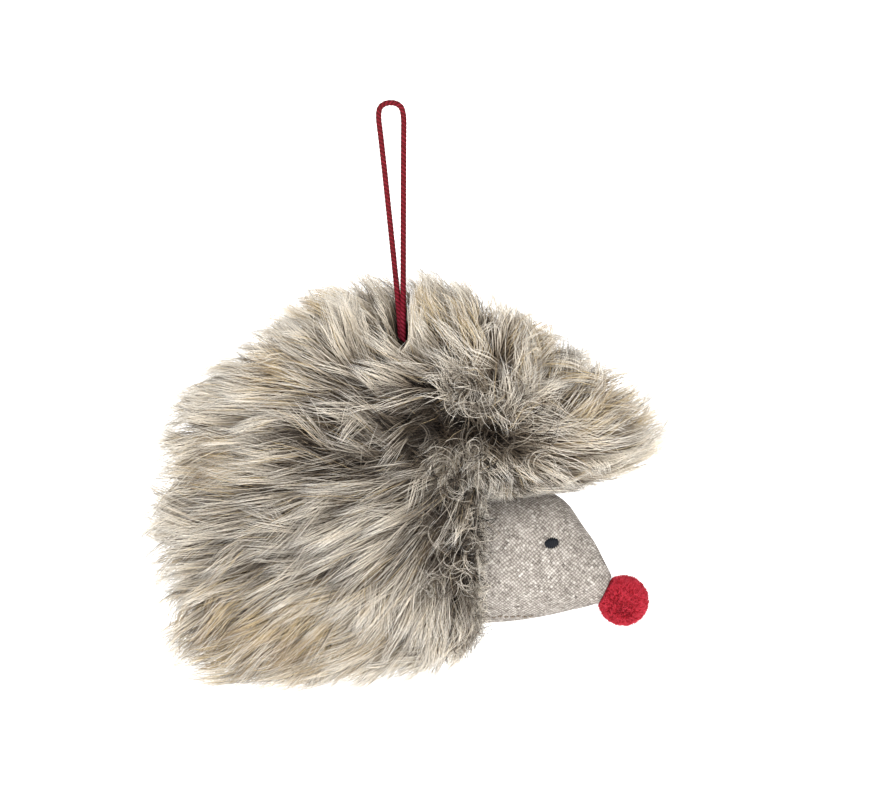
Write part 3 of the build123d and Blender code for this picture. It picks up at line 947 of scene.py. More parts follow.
@dataclass
class HangingLoop:
    """The loop of twisted cord, with the knot in its ends and the thread that sews the knot in."""

    thickness: float = 1.5
    spokes: int = 18
    ring_gap: float = 0.26
    # From the knot up the left leg, over the hook and down the right leg
    route: tuple[Triple, ...] = (
        (3.1, 0.85, -70.0),
        (2.45, 0.85, -60.0),
        (0.95, 0.1, -45.0),
        (-2.7, 0.0, -10.3),
        (-3.9, 0.0, -1.359),
        (-1.8, 0.0, 0.78),
        (1.7, 0.0, 0.78),
        (3.7, 0.0, -1.359),
        (3.584, 0.0, -10.36),
        (3.5, -0.1, -45.0),
        (3.475, -0.85, -60.0),
        (3.4, -0.85, -70.0),
    )

    def line(self) -> Array:
        """Points along the route's smooth curve, in millimetres."""
        curve = bpy.data.curves.new("loop_line", "CURVE")
        curve.dimensions = "3D"
        curve.resolution_u = 24
        spline = curve.splines.new("NURBS")
        spline.points.add(len(self.route) - 1)
        for point, place in zip(spline.points, self.route, strict=True):
            point.co = (*(value * MM for value in place), 1.0)
        spline.order_u = 3
        spline.use_endpoint_u = True
        holder = bpy.data.objects.new("loop_line", curve)
        mesh = bpy.data.meshes.new_from_object(holder)
        found = np.zeros(len(mesh.vertices) * 3, np.float32)
        mesh.vertices.foreach_get("co", found)
        bpy.data.meshes.remove(mesh)
        bpy.data.objects.remove(holder)
        bpy.data.curves.remove(curve)
        return found.reshape(-1, 3).astype(float) / MM

    def build(self) -> tuple[bpy.types.Object, Array]:
        """Builds the cord.

        The section is a circle whose radius dips between the plies, by the size of the sine of half the
        plies times the angle, and the section turns once every lay.

        Returns:
            The cord, and the centres of its rings.
        """
        line = self.line()
        total = lengths_up_to(line)[-1]
        lengths = np.linspace(0, total, int(total / self.ring_gap))
        centres = at_lengths(line, lengths)
        ways = unit(np.gradient(centres, axis=0))
        beside = np.broadcast_to(np.array((0.0, 1.0, 0.0)), ways.shape)
        out = np.cross(ways, beside)
        angle = 2 * math.pi * np.arange(self.spokes) / self.spokes
        twist = math.pi * CORD_PLIES * lengths[:, None] / CORD_LAY
        lobe = np.abs(np.sin(0.5 * CORD_PLIES * angle[None] + twist))
        radius = self.thickness / 2 * (0.97 + 0.17 * lobe)
        round_it = beside[:, None] * np.cos(angle)[:, None] + out[:, None] * np.sin(angle)[:, None]
        rings = centres[:, None] + radius[..., None] * round_it
        return tube_mesh("twisted_cord", rings, centres[[0, -1]], lengths), centres

    def add(self, frame: dict, finishes: Finishes) -> None:
        """Builds the loop, and dresses it and the nodes that go with it."""
        cord, centres = self.build()
        finishes.fit(cord, "red_cord", "cord", "hanging_loop")
        finishes.dress(frame["nodes"]["loop_knot"], "knot_cord")
        finishes.dress(frame["nodes"]["loop_stitches"], "sewing_thread")
        log.info("hanging loop: %d rings, %.1f mm", len(centres), CORD_LENGTH)


@dataclass(frozen=True)
class Comb:
    """The way that the pile is combed on the side, from given guides: x, z and the angle above +X."""

    guides: tuple[Triple, ...] = (
        (-58.7, -98.2, 186), (-61.6, -118.1, 198), (-55.9, -140.9, 214), (-47.3, -158.0, 230),
        (-25.9, -160.3, 233), (-3.1, -160.3, 243), (14.0, -156.6, 255), (-25.9, -140.9, 214),
        (2.6, -140.9, 224), (14.0, -135.2, 232), (20.5, -142.4, 238), (21.9, -129.5, 256),
        (24.0, -148.5, 232), (25.5, -136.0, 266), (26.0, -122.0, 276), (27.0, -114.0, 292),
        (-11.7, -118.1, 203), (-37.3, -123.8, 203), (8.3, -112.4, 207), (-25.9, -98.2, 178),
        (-43.0, -83.9, 171), (-40.2, -71.1, 151), (-25.9, -66.8, 139), (-17.4, -55.4, 126),
        (-8.8, -64.0, 126), (2.6, -78.2, 134), (-0.3, -92.5, 166), (11.1, -91.1, 158), (2.6, -55.4, 106),
        (14.0, -55.4, 86), (25.4, -58.3, 80), (36.8, -64.0, 66), (48.2, -69.7, 60), (59.6, -78.2, 52),
        (71.0, -86.8, 38), (75.2, -93.1, 22), (59.6, -95.3, 28), (48.2, -83.9, 52), (36.8, -83.9, 64),
        (61.0, -103.9, 20), (51.0, -109.0, 2), (42.5, -108.2, -20), (31.1, -106.7, -46),
        (23.1, -121.0, -84), (22.5, -103.9, -100), (14.0, -103.9, 200),
    )  # fmt: skip

    def way(self, points: Array) -> Array:
        """The combed direction at points: the guides' directions, each weighed by one over distance cubed."""
        table = np.array(self.guides)
        angle = np.radians(table[:, 2])
        gap = points[:, None, (0, 2)] - table[None, :, :2]
        weight = 1 / ((gap**2).sum(-1) + 9) ** 1.5
        flat = weight @ np.stack((np.cos(angle), np.sin(angle)), axis=-1)
        return unit(np.stack((flat[:, 0], np.zeros(len(flat)), flat[:, 1]), axis=-1))


@dataclass(frozen=True)
class Layer:
    """One layer of the pile: how many strands, how long and thick they are and how they lie.

    The reach is the gauge of the pile's form at which a strand is cut, and lift the share of the room out
    to that form that its rise takes. Gather is how strongly small and big locks draw together. Top is how
    far up the pile's colours the tips lie.
    """

    name: str
    strands: int
    length: float
    thickness: float
    reach: float
    points: int
    lift: float
    gather: Pair
    waviness: float
    tone_shift: float
    top: float
    pieces_per_side: int


@dataclass
class Sown:
    """The roots of a layer's strands and the ways out there, their locks, and how unruly the pile is there.

    A strand's small or big lock is given by the number of the strand in the lock's middle. Tangled, edge and
    opened say how much of the tangle, the cheek's edge and the whorl is at a root.
    """

    roots: Array
    out: Array
    small: Array
    big: Array
    tangled: Array
    edge: Array
    opened: Array


@dataclass
class Coat:
    """The two fur panels: their knitted backing, the filling inside and the combed pile."""

    head: HeadForm
    seed: int = 7
    backing_gap: float = 0.15
    backing_thickness: float = 0.7
    filling_gap: float = 0.3
    pocket_depth: float = 8.5
    pocket_radius: float = 3.4
    pocket_height: float = 12.0
    big_locks: int = 420
    small_locks: int = 3600
    # How much big locks, small locks and single strands stray from the comb
    stray: Triple = (0.24, 0.2, 0.1)
    unevenness: float = 0.05
    # How far the reach's gauge sinks in the partings, in the whorl and in front of the cord
    parting_sink: float = 0.11
    whorl_sink: float = 0.25
    dimple_sink: float = 0.34
    # The share of locks that stand up in the partings, and of strands that hardly follow their lock
    staying: float = 0.17
    straggling: float = 0.16
    # How far a strand may be moved off the face before it is left out
    most_laid: float = 1.6
    curls_in_lock: int = 7
    curl_points: int = 12
    curl_thickness: float = 0.22
    fringe: int = 2600
    fringe_points: int = 6
    fringe_thickness: float = 0.2
    # The angles above +X at which the fringe's strands run, and how often
    fringe_ways: Triple = (-125.0, -65.0, 30.0)
    fringe_odds: Triple = (0.4, 0.3, 0.3)
    body_outline: Outline = Outline(
        (-0.441, -0.455),
        (
            ((-0.506, -0.017), (-0.512, -0.224)),
            ((-0.294, 0.372), (-0.453, 0.224)),
            ((0.0, 0.462), (-0.15, 0.448)),
            ((0.376, 0.324), (0.206, 0.441)),
            ((0.488, 0.097), (0.471, 0.224)),
            ((0.397, -0.007), (0.465, 0.021)),
            ((0.218, -0.014), None),
            ((0.218, -0.49), None),
            ((0.132, -0.531), (0.191, -0.524)),
            ((-0.441, -0.455), (-0.176, -0.559)),
        ),
        97.0,
        82.5,
    )
    reach_outline: Outline = Outline(
        (-0.445, -0.425),
        (
            ((-0.474, 0.005), (-0.48, -0.196)),
            ((-0.265, 0.36), (-0.405, 0.222)),
            ((-0.14, 0.468), (-0.205, 0.402)),
            ((0.024, 0.495), (-0.06, 0.488)),
            ((0.33, 0.336), (0.19, 0.444)),
            ((0.4, 0.272), None),
            ((0.55, 0.115), (0.5, 0.2)),
            ((0.357, -0.029), (0.46, 0.038)),
            ((0.211, -0.054), None),
            ((0.157, -0.123), (0.169, -0.074)),
            ((0.15, -0.385), (0.165, -0.257)),
            ((0.04, -0.464), (0.111, -0.446)),
            ((-0.25, -0.488), (-0.1, -0.478)),
            ((-0.445, -0.425), (-0.37, -0.479)),
        ),
        142.0,
        116.3,
    )
    body_half_width: float = 21.0
    reach_half_width: float = 33.0
    layers: tuple[Layer, ...] = (
        Layer(
            "pile",
            strands=46000,
            length=28.0,
            thickness=0.26,
            reach=1.03,
            points=6,
            lift=1.0,
            gather=(0.7, 0.096),
            waviness=0.6,
            tone_shift=0.04,
            top=1.0,
            pieces_per_side=4,
        ),
        Layer(
            "undercoat",
            strands=17000,
            length=16.0,
            thickness=0.34,
            reach=0.92,
            points=4,
            lift=0.88,
            gather=(0.3, 0.12),
            waviness=0.9,
            tone_shift=-0.1,
            top=0.42,
            pieces_per_side=1,
        ),
    )
    # Where strands are tan at the tip: x, z, radius and how many
    tan_patches: tuple[Patch, ...] = (
        (-50.2, -152.3, 11.5, 0.9), (-33.1, -158.0, 9.0, 0.9), (-14.0, -155.8, 5.0, 0.8),
        (-38.8, -76.0, 7.0, 0.8), (18.2, -56.9, 4.0, 0.8), (43.9, -62.6, 5.1, 0.9), (63.0, -80.5, 7.0, 0.8),
        (72.4, -85.4, 4.6, 0.7), (-25.9, -55.4, 3.5, 0.7), (8.3, -52.6, 3.5, 0.7),
        (-57.3, -103.9, 6.3, 0.7), (-30.0, -146.0, 7.0, 0.5),
    )  # fmt: skip
    # Where the pile parts and its dark lower half shows, and where strands are painted dark as painted shade,
    # as along the hood's lower edge: x, z, radius and how much
    partings_and_painted_shade: tuple[Patch, ...] = (
        (16.0, -92.0, 8.0, 2.1), (8.0, -92.0, 9.0, 1.9), (2.0, -86.0, 9.0, 1.6), (-19.0, -89.0, 8.0, 1.6),
        (-30.0, -94.5, 7.0, 1.4), (-11.0, -108.0, 11.0, 1.0), (24.0, -108.0, 6.0, 0.7),
        (11.0, -122.0, 9.0, 1.6), (18.5, -131.0, 9.0, 1.4), (-43.0, -112.0, 8.0, 0.4),
        (-46.0, -132.0, 8.0, 0.7), (2.0, -135.0, 8.0, 0.7), (34.0, -97.0, 8.0, 0.9),
        (-42.0, -146.0, 7.0, 0.35), (40.0, -84.0, 5.0, 0.4), (-30.0, -118.0, 9.0, 0.8),
        (-22.0, -84.0, 6.0, 1.0), (-48.5, -117.0, 6.0, 0.7), (-14.0, -132.0, 6.0, 1.2),
        (-5.0, -110.0, 7.0, 1.1), (38.0, -110.5, 5.0, 0.9), (48.0, -110.0, 5.0, 0.9),
        (56.0, -108.0, 4.0, 0.8), (20.0, -142.0, 6.0, 0.9), (29.6, -69.5, 3.5, 1.3),
        (41.0, -63.5, 3.0, 0.9), (49.6, -71.5, 3.5, 1.2), (55.0, -83.0, 3.5, 1.2), (-6.0, -78.5, 5.0, 1.1),
        (-26.0, -97.0, 7.0, 1.4), (19.5, -121.0, 6.0, 1.6), (-49.0, -128.0, 6.0, 0.8),
        (-14.0, -92.0, 6.0, 1.2), (11.0, -72.0, 6.0, 0.6), (-6.0, -139.0, 6.0, 0.9),
    )  # fmt: skip
    # Where the pile is painted paler, partly paler fur and partly painted light against shade, as in the
    # cord's dimple and slot: x, z, radius and how much
    pale_and_painted_light_patches: tuple[Patch, ...] = (
        (15.5, -106.0, 5.0, 0.8), (3.0, -60.0, 9.0, 1.0), (54.0, -88.0, 15.0, 1.7),
        (30.0, -66.0, 10.0, 1.0), (-48.0, -84.0, 9.0, 0.4), (20.0, -71.0, 8.0, 1.1),
        (62.0, -98.0, 9.0, 1.7), (12.0, -157.0, 10.0, 1.0), (-15.0, -60.0, 8.0, 0.8),
        (-18.0, -157.0, 12.0, 0.9), (-3.0, -147.0, 8.0, 0.6), (44.0, -99.0, 8.0, 0.9),
        (-44.0, -158.0, 9.0, 0.5), (20.0, -150.0, 5.0, 1.2), (-5.0, -57.0, 8.0, 1.0),
    )  # fmt: skip
    # Where curled locks lie on the pile: x, z, radius and how many locks
    curled: tuple[tuple[float, float, float, int], ...] = (
        (21.7, -81.0, 3.4, 26), (27.0, -97.0, 7.0, 34), (34.0, -88.0, 6.0, 16), (19.0, -108.0, 5.0, 24),
        (18.5, -122.0, 5.0, 26), (17.0, -134.0, 5.0, 20), (12.0, -96.0, 6.0, 8), (44.0, -104.0, 7.0, 8),
    )  # fmt: skip
    # Where the pile is tangled: x, z, radius
    tangle: Triple = (28.5, -89.0, 10.5)
    # Where the pile turns about a point and lies open: x, z, radius
    whorl: Triple = (16.0, -92.0, 8.0)
    # The pile is short and loose on the cheek, in front of these X and below these Z
    cheek_front: Pair = (15.0, 22.0)
    cheek_top: Pair = (-116.0, -110.0)
    body: SwollenForm = field(init=False)
    reach: SwollenForm = field(init=False)
    rng: np.random.Generator = field(init=False)

    def __post_init__(self) -> None:
        """Works out the two forms that the pile grows between, and starts the seeded source of chance."""
        self.body = SwollenForm(self.body_outline, self.body_half_width)
        self.reach = SwollenForm(self.reach_outline, self.reach_half_width)
        self.rng = np.random.default_rng(self.seed)

    def pocket(self, points: Array) -> Array:
        """Sinks the surface under the cord, by a bell curve of the distance from the knot's middle line."""
        away = np.linalg.norm(points[..., :2] - CORD_EXIT[:2], axis=-1)
        above = points[..., 2] > CORD_EXIT[2] - self.pocket_height
        sunk = np.where(above, self.pocket_depth * np.exp(-((away / self.pocket_radius) ** 2)), 0)
        return points - np.stack((0 * sunk, 0 * sunk, sunk), axis=-1)

    def build_filling(self) -> bpy.types.Object:
        """Builds the body's filling, one closed form a little smaller than the body."""
        around = np.arange(150) / 150
        psi = np.radians(np.linspace(-86, 86, 60))
        grid = self.body.place(*np.meshgrid(around, psi), grow=-self.filling_gap)
        poles = np.radians(np.array((-90.0, 90.0)))
        ends = self.body.place(np.zeros(2), poles, grow=-self.filling_gap)
        points = self.pocket(np.concatenate((grid.reshape(-1, 3), ends)))
        return lay_mesh("body_filling", points, facing_out(points, ball_faces(60, 150)))

    def build_backing(self, side: Side) -> bpy.types.Object:
        """Builds one panel's knitted backing, a shell on the filling."""
        around = np.linspace(0, 1, 151)
        psi = side.value * np.radians(np.linspace(0.6, 89.2, 40))
        grid = np.meshgrid(around, psi)
        faces = [
            self.pocket(self.body.place(*grid, grow=grow))
            for grow in (self.backing_gap + self.backing_thickness, self.backing_gap)
        ]
        return shell_mesh(f"fur_backing_{side.word}", *faces)

    def sow(self, count: int) -> tuple[Array, Array]:
        """Scatters roots evenly over the body, but not on the neck.

        Args:
            count: how many roots.

        Returns:
            The roots and the ways out of the body there.
        """
        tries = count * 5
        around, psi = self.rng.random(tries), np.arcsin(self.rng.uniform(-0.998, 0.998, tries))
        small = 0.003
        over = self.body.place(around + small, psi) - self.body.place(around - small, psi)
        turned = self.body.place(around, psi + small) - self.body.place(around, psi - small)
        area = np.linalg.norm(over, axis=-1) * np.linalg.norm(turned, axis=-1) / np.maximum(np.cos(psi), 0.05)
        under_hood, neck, below = (self.body.stretch_share(number) for number in (6, 7, 8))
        behind_face = (around > neck) & (around < below) & (np.abs(psi) < math.radians(50))
        over_face = (around > under_hood) & (around < neck) & (np.abs(psi) < math.radians(14))
        bare = behind_face | over_face
        kept = (self.rng.random(tries) < area / np.quantile(area, 0.995)) & ~bare
        around, psi = around[kept][:count], psi[kept][:count]
        return self.body.place(around, psi, grow=0.4), self.body.normal(around, psi)

    def near(self, points: Array, patches: tuple[Patch, ...]) -> Array:
        """How much of a patch is at points: the most of the patches' bell curves of distance over radius."""
        table = np.array(patches)
        gap = (points[:, None, (0, 2)] - table[None, :, :2]) / table[None, :, 2:3]
        return (table[:, 3] * np.exp(-(gap**2).sum(-1))).max(-1)

    def nearest(self, points: Array, centres: Array) -> Array:
        """For each point, the number of its nearest centre, worked out in blocks."""
        found = []
        for block in np.array_split(points, max(1, len(points) // 4000)):
            found.append(((block[:, None] - centres[None]) ** 2).sum(-1).argmin(1))
        return np.concatenate(found)

    def room(self, roots: Array, out: Array) -> Array:
        """How far the reach of the pile lies from roots along the normal, found by halving."""
        low, high = np.full(len(roots), 1.0), np.full(len(roots), 40.0)
        for _ in range(9):
            middle = (low + high) / 2
            beyond = self.reach.gauge(roots + middle[:, None] * out) > 1
            low, high = np.where(beyond, low, middle), np.where(beyond, middle, high)
        return low

    def dimple(self, roots: Array) -> Array:
        """How far the pile is pressed down in front of the cord, by a bell curve of the distance along X."""
        level = smooth_step(-90.0, -74.0, roots[:, 2]) * (1 - smooth_step(0.3, 2.5, roots[:, 1]))
        return level * np.exp(-(((roots[:, 0] - 3.0) / 4.5) ** 2))

    def part_for_cord(self, points: Array, spare: Array) -> Array:
        """Combs the pile aside in front of the cord.

        A strand stays on the side where most of it lies, and its distance from the cord's line, from
        nothing to the parting's half width, is drawn out to run from its clearance to that half width.
        The clearance grows upwards, where the cord's legs draw apart.

        Args:
            points: points along strands, (strands, points, 3).
            spare: for each strand, how many times the clearance it keeps.

        Returns:
            The points, moved along X.
        """
        above = points[..., 2] - CORD_EXIT[2]
        clear = np.clip(1.0 + 0.07 * above, 1.0, 2.7) * spare[:, None]
        half = clear + 3.5
        off = points[..., 0] - np.clip(3.35 - 0.05 * above, 1.9, 3.35)
        side = np.sign(off.mean(1, keepdims=True) + 1e-9)
        share = np.clip(off * side / half, 0, 1)
        pushed = side * (clear + (half - clear) * share)
        fade = smooth_step(-2.5, 1.0, above) * (1 - smooth_step(1.3, 2.4, points[..., 1]))
        moved = points.copy()
        moved[..., 0] += np.where(off * side < half, (pushed - off) * fade, 0)
        return moved

    def plant(self, layer: Layer) -> Sown:
        """Sows a layer's roots and shares them out to locks, by the nearest of roots picked by chance."""
        roots, out = self.sow(layer.strands)
        small_pick = self.rng.choice(len(roots), self.small_locks, replace=False)
        small = small_pick[self.nearest(roots, roots[small_pick])]
        big_pick = self.rng.choice(len(roots), self.big_locks, replace=False)
        big = big_pick[self.nearest(roots, roots[big_pick])][small]
        edge = smooth_step(*self.cheek_front, roots[:, 0]) * (1 - smooth_step(*self.cheek_top, roots[:, 2]))
        return Sown(roots, out, small, big, bell(roots, self.tangle), edge, bell(roots, self.whorl))

    def aim(self, layer: Layer, sown: Sown) -> tuple[Array, Array]:
        """Finds which way strands go: out of the body as far as there is room, and over it along the comb.

        Args:
            layer: the layer's sizes.
            sown: the roots and their locks.

        Returns:
            The rise along the normal and the lean along the body.
        """
        chance, own = self.rng.normal(size=(2, len(sown.roots), 3))
        big, small, single = self.stray
        way = Comb().way(sown.roots) + big * chance[sown.big] + small * chance[sown.small] + single * own
        loose = 0.9 * chance[sown.small] + 0.5 * chance[sown.big]
        forward = np.array((0.2, 0.0, 0.0))
        way = unit(way + sown.tangled[:, None] * loose + sown.edge[:, None] * (loose + forward))
        over = (way * sown.out).sum(-1, keepdims=True)
        rise = layer.lift * self.room(sown.roots, sown.out)[:, None] * sown.out
        lean = 0.85 * layer.length * (1 - 0.5 * sown.edge[:, None]) * (way - over * sown.out)
        return rise, lean

    def trim(self, layer: Layer, sown: Sown, reached: Array) -> tuple[Array, Array, Array]:
        """Cuts each strand to its lock's reach, which is less in partings, in the whorl and before the cord.

        Its tip's gauge goes nearly straight with its length, so three corrections in proportion bring it
        there.

        Args:
            layer: the layer's sizes.
            sown: the roots and their locks.
            reached: where each strand would end, less its root.

        Returns:
            The share of reached at which each strand ends, a number for each strand from which its locks take
            theirs, and whether its lock stands up where the pile parts.
        """
        count, small, big = len(sown.roots), sown.small, sown.big
        sized, own, other = self.rng.normal(size=(3, count))
        grown = np.clip(1 + 0.12 * sized[big] + 0.1 * sized[small] + 0.07 * own, 0.5, 1.4)
        wanted = layer.reach + self.unevenness * (0.6 * sized[small] + 0.5 * sized[big] + 0.6 * other)
        stays = (self.rng.random(count)[small] < self.staying) & (sown.opened < 0.35)
        parted = np.minimum(self.near(sown.roots + reached, self.partings_and_painted_shade), 1)
        wanted = wanted - np.where(stays, -0.01, self.parting_sink) * parted - self.whorl_sink * sown.opened
        wanted = np.minimum(wanted + 0.05 * sown.edge * self.rng.normal(size=count), layer.reach + 0.065)
        wanted = wanted - self.dimple_sink * self.dimple(sown.roots)
        start = self.reach.gauge(sown.roots)
        for _ in range(3):
            tip = self.reach.gauge(sown.roots + grown[:, None] * reached)
            grown *= np.clip((wanted - start) / np.maximum(tip - start, 1e-3), 0.3, 1.3)
        return np.minimum(grown, 1.35 * layer.length / np.linalg.norm(reached, axis=-1)), sized, stays

    def sway(self, layer: Layer, sown: Sown, up: Array) -> Array:
        """How far strands lie aside: a sine wave of each strand's own, and a bow that its locks share.

        Args:
            layer: the layer's sizes.
            sown: the roots and their locks.
            up: shares of the way up a strand.

        Returns:
            The distances, (strands, shares).
        """
        count = len(sown.roots)
        phase, turns = self.rng.uniform(0, 2 * math.pi, count), self.rng.uniform(0.5, 1.3, count)
        swing = layer.waviness * (1 + 3.0 * sown.tangled + 3.0 * sown.edge) * self.rng.normal(size=count)
        wave = np.sin(2 * math.pi * turns[:, None] * up + phase[:, None]) - np.sin(phase)[:, None]
        bow = self.rng.normal(size=count)
        bow = 1.1 * bow[sown.small] + 1.3 * bow[sown.big]
        bent = bow[:, None] * up**2 * (1 + 2.5 * (sown.tangled + sown.edge)[:, None])
        return swing[:, None] * wave + bent

    def gather(self, layer: Layer, sown: Sown, lines: Array) -> Array:
        """Draws strands towards the middle strand of their small lock and then of their big one.

        The draw goes with v^1.3 of the way v up the strand, and some strands hardly follow it.

        Args:
            layer: the layer's sizes.
            sown: the roots and their locks.
            lines: points along the strands.

        Returns:
            The points, drawn together.
        """
        count = len(lines)
        up = np.linspace(0, 1, layer.points)[None, :, None]
        alone = np.where(self.rng.random(count) < self.straggling, 0.15, 1.0)
        for centre, strength in zip((sown.small, sown.big), layer.gather, strict=True):
            share = strength * up**1.3 * (alone * self.rng.uniform(0.55, 1.25, count))[:, None, None]
            lines = lines + np.clip(share, 0, 0.93) * (lines[centre] - lines)
        return lines

    def grow(self, layer: Layer) -> Strands:
        """Grows one layer of the pile.

        A strand's rise goes with 1 - (1 - v)^2 and its lean with v^1.4 of the way v up the strand. A
        strand that would lie deep in the head is left out.

        Args:
            layer: the layer's sizes.

        Returns:
            The strands.
        """
        sown = self.plant(layer)
        count = len(sown.roots)
        rise, lean = self.aim(layer, sown)
        grown, sized, stays = self.trim(layer, sown, rise + lean)
        up = np.linspace(0, 1, layer.points)[:, None]
        lines = sown.roots[:, None] + grown[:, None, None] * (
            rise[:, None] * (1 - (1 - up) ** 2) + lean[:, None] * up**1.4
        )
        beside = unit(np.cross(sown.out, unit(rise + lean)) + 1e-6)
        lines = lines + beside[:, None] * self.sway(layer, sown, up.T)[..., None]
        lines = self.gather(layer, sown, lines)
        spare = self.rng.uniform(1.0, 3.2, count)[sown.small] * self.rng.uniform(1.0, 1.25, count)
        lines = self.part_for_cord(lines, spare)
        laid = self.head.lay_on(lines, np.sign(sown.roots[:, 1] + 1e-9)[:, None], 0.35)
        free = np.abs(laid - lines).max((1, 2)) < self.most_laid
        fade = np.linspace(1, 0.25, layer.points - 1) ** 0.7
        radii = layer.thickness / 2 * fade * self.rng.uniform(0.75, 1.2, count)[:, None]
        # Strands are painted darker along the cheek's edge: painted shade where the pile meets the linen
        tones = self.tones(lines, sown, sized, stays) + layer.tone_shift - 0.18 * sown.edge
        return Strands(laid, radii, np.clip(tones, 0.03, 0.97), beside).some(free)

    def wind(self, start: Array, heading: Array, bend: Array, length: Array, points: int) -> Array:
        """Winds strands over a side, as arcs in X and Z.

        Each step goes on along the heading, and the heading turns by the step's length over the arc's
        radius.

        Args:
            start: where each strand starts, (strands, 3).
            heading: the angle from X towards Z at the start.
            bend: one over the arc's radius, below 0 for an arc that turns downwards.
            length: each strand's length.
            points: how many points each strand has.

        Returns:
            The points, (strands, points, 3), with the start's own Y.
        """
        step = (length / (points - 1))[:, None]
        angle = heading[:, None] + bend[:, None] * step * np.arange(points - 1)
        lines = np.repeat(start[:, None], points, axis=1)
        lines[:, 1:, 0] += np.cumsum(step * np.cos(angle), axis=1)
        lines[:, 1:, 2] += np.cumsum(step * np.sin(angle), axis=1)
        return lines

    def tapered(self, thickness: float, tip: float, points: int, count: int) -> Array:
        """Half thicknesses up strands, which narrow evenly to a share at the tip and differ by chance."""
        return thickness / 2 * np.linspace(1, tip, points - 1) * self.rng.uniform(0.8, 1.2, count)[:, None]

    def grow_curls(self) -> Strands:
        """Grows the curled strands that lie on top of the tangled places, in small locks.

        The strands of a lock start side by side and wind almost alike. A point of a strand lies where the
        gauge of the pile's reach is the strand's level there: as far aside as the half width times the
        root of that level squared less the side outline's share squared, but no less than 0.8 of where
        the strand starts. A strand starts lower than it ends, and dips in the whorl.

        Returns:
            The strands.
        """
        table = np.array([entry[:3] for entry in self.curled])
        patch = np.repeat(np.arange(len(table)), [entry[3] for entry in self.curled])
        locks = len(patch)
        lock = np.repeat(np.arange(locks), self.curls_in_lock)
        count, points = len(lock), self.curl_points
        sides = by_turns(lock)
        away = self.rng.normal(0, 0.6, (locks, 2)) * table[patch, 2:3]
        away = away[lock] + self.rng.normal(0, 0.55, (count, 2)) + table[patch[lock], :2]
        start = np.stack((away[:, 0], np.zeros(count), away[:, 1]), axis=-1)
        bend = self.rng.choice(np.array((-1.0, 1.0)), locks) / self.rng.uniform(1.9, 6.0, locks)
        bend = bend[lock] * self.rng.uniform(0.8, 1.25, count)
        heading = self.rng.uniform(0, 2 * math.pi, locks)[lock] + self.rng.normal(0, 0.25, count)
        lines = self.wind(start, heading, bend, self.rng.uniform(6.0, 15.0, count), points)
        wave = np.sin(np.linspace(0, 5, points) + self.rng.uniform(0, 6, count)[:, None])
        sunk = np.linspace(0.12, 0, points) + 0.02 * wave
        level = (self.rng.uniform(0.94, 1.04, count) - 0.2 * bell(start, self.whorl))[:, None] - sunk
        depth = self.reach_half_width * np.sqrt(np.maximum(level**2 - self.reach.gauge(lines) ** 2, 0))
        lines[..., 1] = sides[:, None] * np.maximum(depth, 0.8 * depth[:, :1])
        lines = self.head.lay_on(lines, sides[:, None], 0.4)
        radii = self.tapered(self.curl_thickness, 0.4, points, count)
        dark = self.rng.random(locks)[lock] < 0.5
        tones = np.where(dark, self.rng.uniform(0.03, 0.22, count), self.rng.uniform(0.3, 0.56, count))
        return Strands(lines, radii, tones, across(sides))

    def grow_fringe(self) -> Strands:
        """Grows the short strands that straggle over the edge of the linen along the neck.

        A strand starts on the cloth beside the seam and winds at its own angle over the cloth. It stands
        off by a half wave of its length.

        Returns:
            The strands.
        """
        count, points = self.fringe, self.fringe_points
        sides = by_turns(np.arange(count))
        turn = self.rng.uniform(-0.93, 0.98, count)
        along = np.abs(self.rng.normal(0, 0.035, count)) - 0.02
        right, left = (self.head.place(along, turn, side, inset=-0.2) for side in Side)
        roots = np.where((sides == Side.RIGHT.value)[:, None], right, left)
        ways = self.rng.choice(np.array(self.fringe_ways), count, p=self.fringe_odds)
        angle = np.radians(ways + 38 * self.rng.normal(size=count))
        length = self.rng.uniform(2.5, 7.5, count) * np.where(np.cos(angle) > 0.5, 0.6, 1.0)
        up = np.linspace(0, 1, points)[None, :]
        lift = self.rng.uniform(0.3, 2.4, count)[:, None] * np.sin(math.pi * (0.15 + 0.75 * up))
        lines = self.wind(roots, angle, self.rng.normal(0, 0.2, count), length, points)
        lines = self.head.lay_on(lines, sides[:, None], 0.25)
        lines[..., 1] += sides[:, None] * lift
        radii = self.tapered(self.fringe_thickness, 0.35, points, count)
        tones = np.clip(0.52 + 0.14 * self.rng.normal(size=count), 0.05, 0.68)
        return Strands(lines, radii, tones, across(sides))

    def tones(self, lines: Array, sown: Sown, sized: Array, stays: Array) -> Array:
        """Finds each strand's tone: by its locks, by chance, paler where its tip lies in a pale patch, which
        is partly painted light, and tan where its tip lies in a tan patch.

        Where the pile parts most locks are dark over their upper half, partly the dark lower pile showing and
        partly painted shade, and some stay pale on top of them.

        Args:
            lines: the strands' points.
            sown: the roots and their locks.
            sized: a number for each strand, from which its locks take theirs.
            stays: whether a strand's lock stays pale where the pile parts.

        Returns:
            Tones, from about 0 for dark to 1 for tan.
        """
        count, tips = len(lines), lines[:, -1]
        tones = 0.5 + 0.12 * sized[sown.small] + 0.06 * sized[sown.big] + 0.13 * self.rng.normal(size=count)
        # Paler where tips lie in the pale patches: partly painted light against the shade there
        tones = tones + 0.2 * self.near(tips, self.pale_and_painted_light_patches)
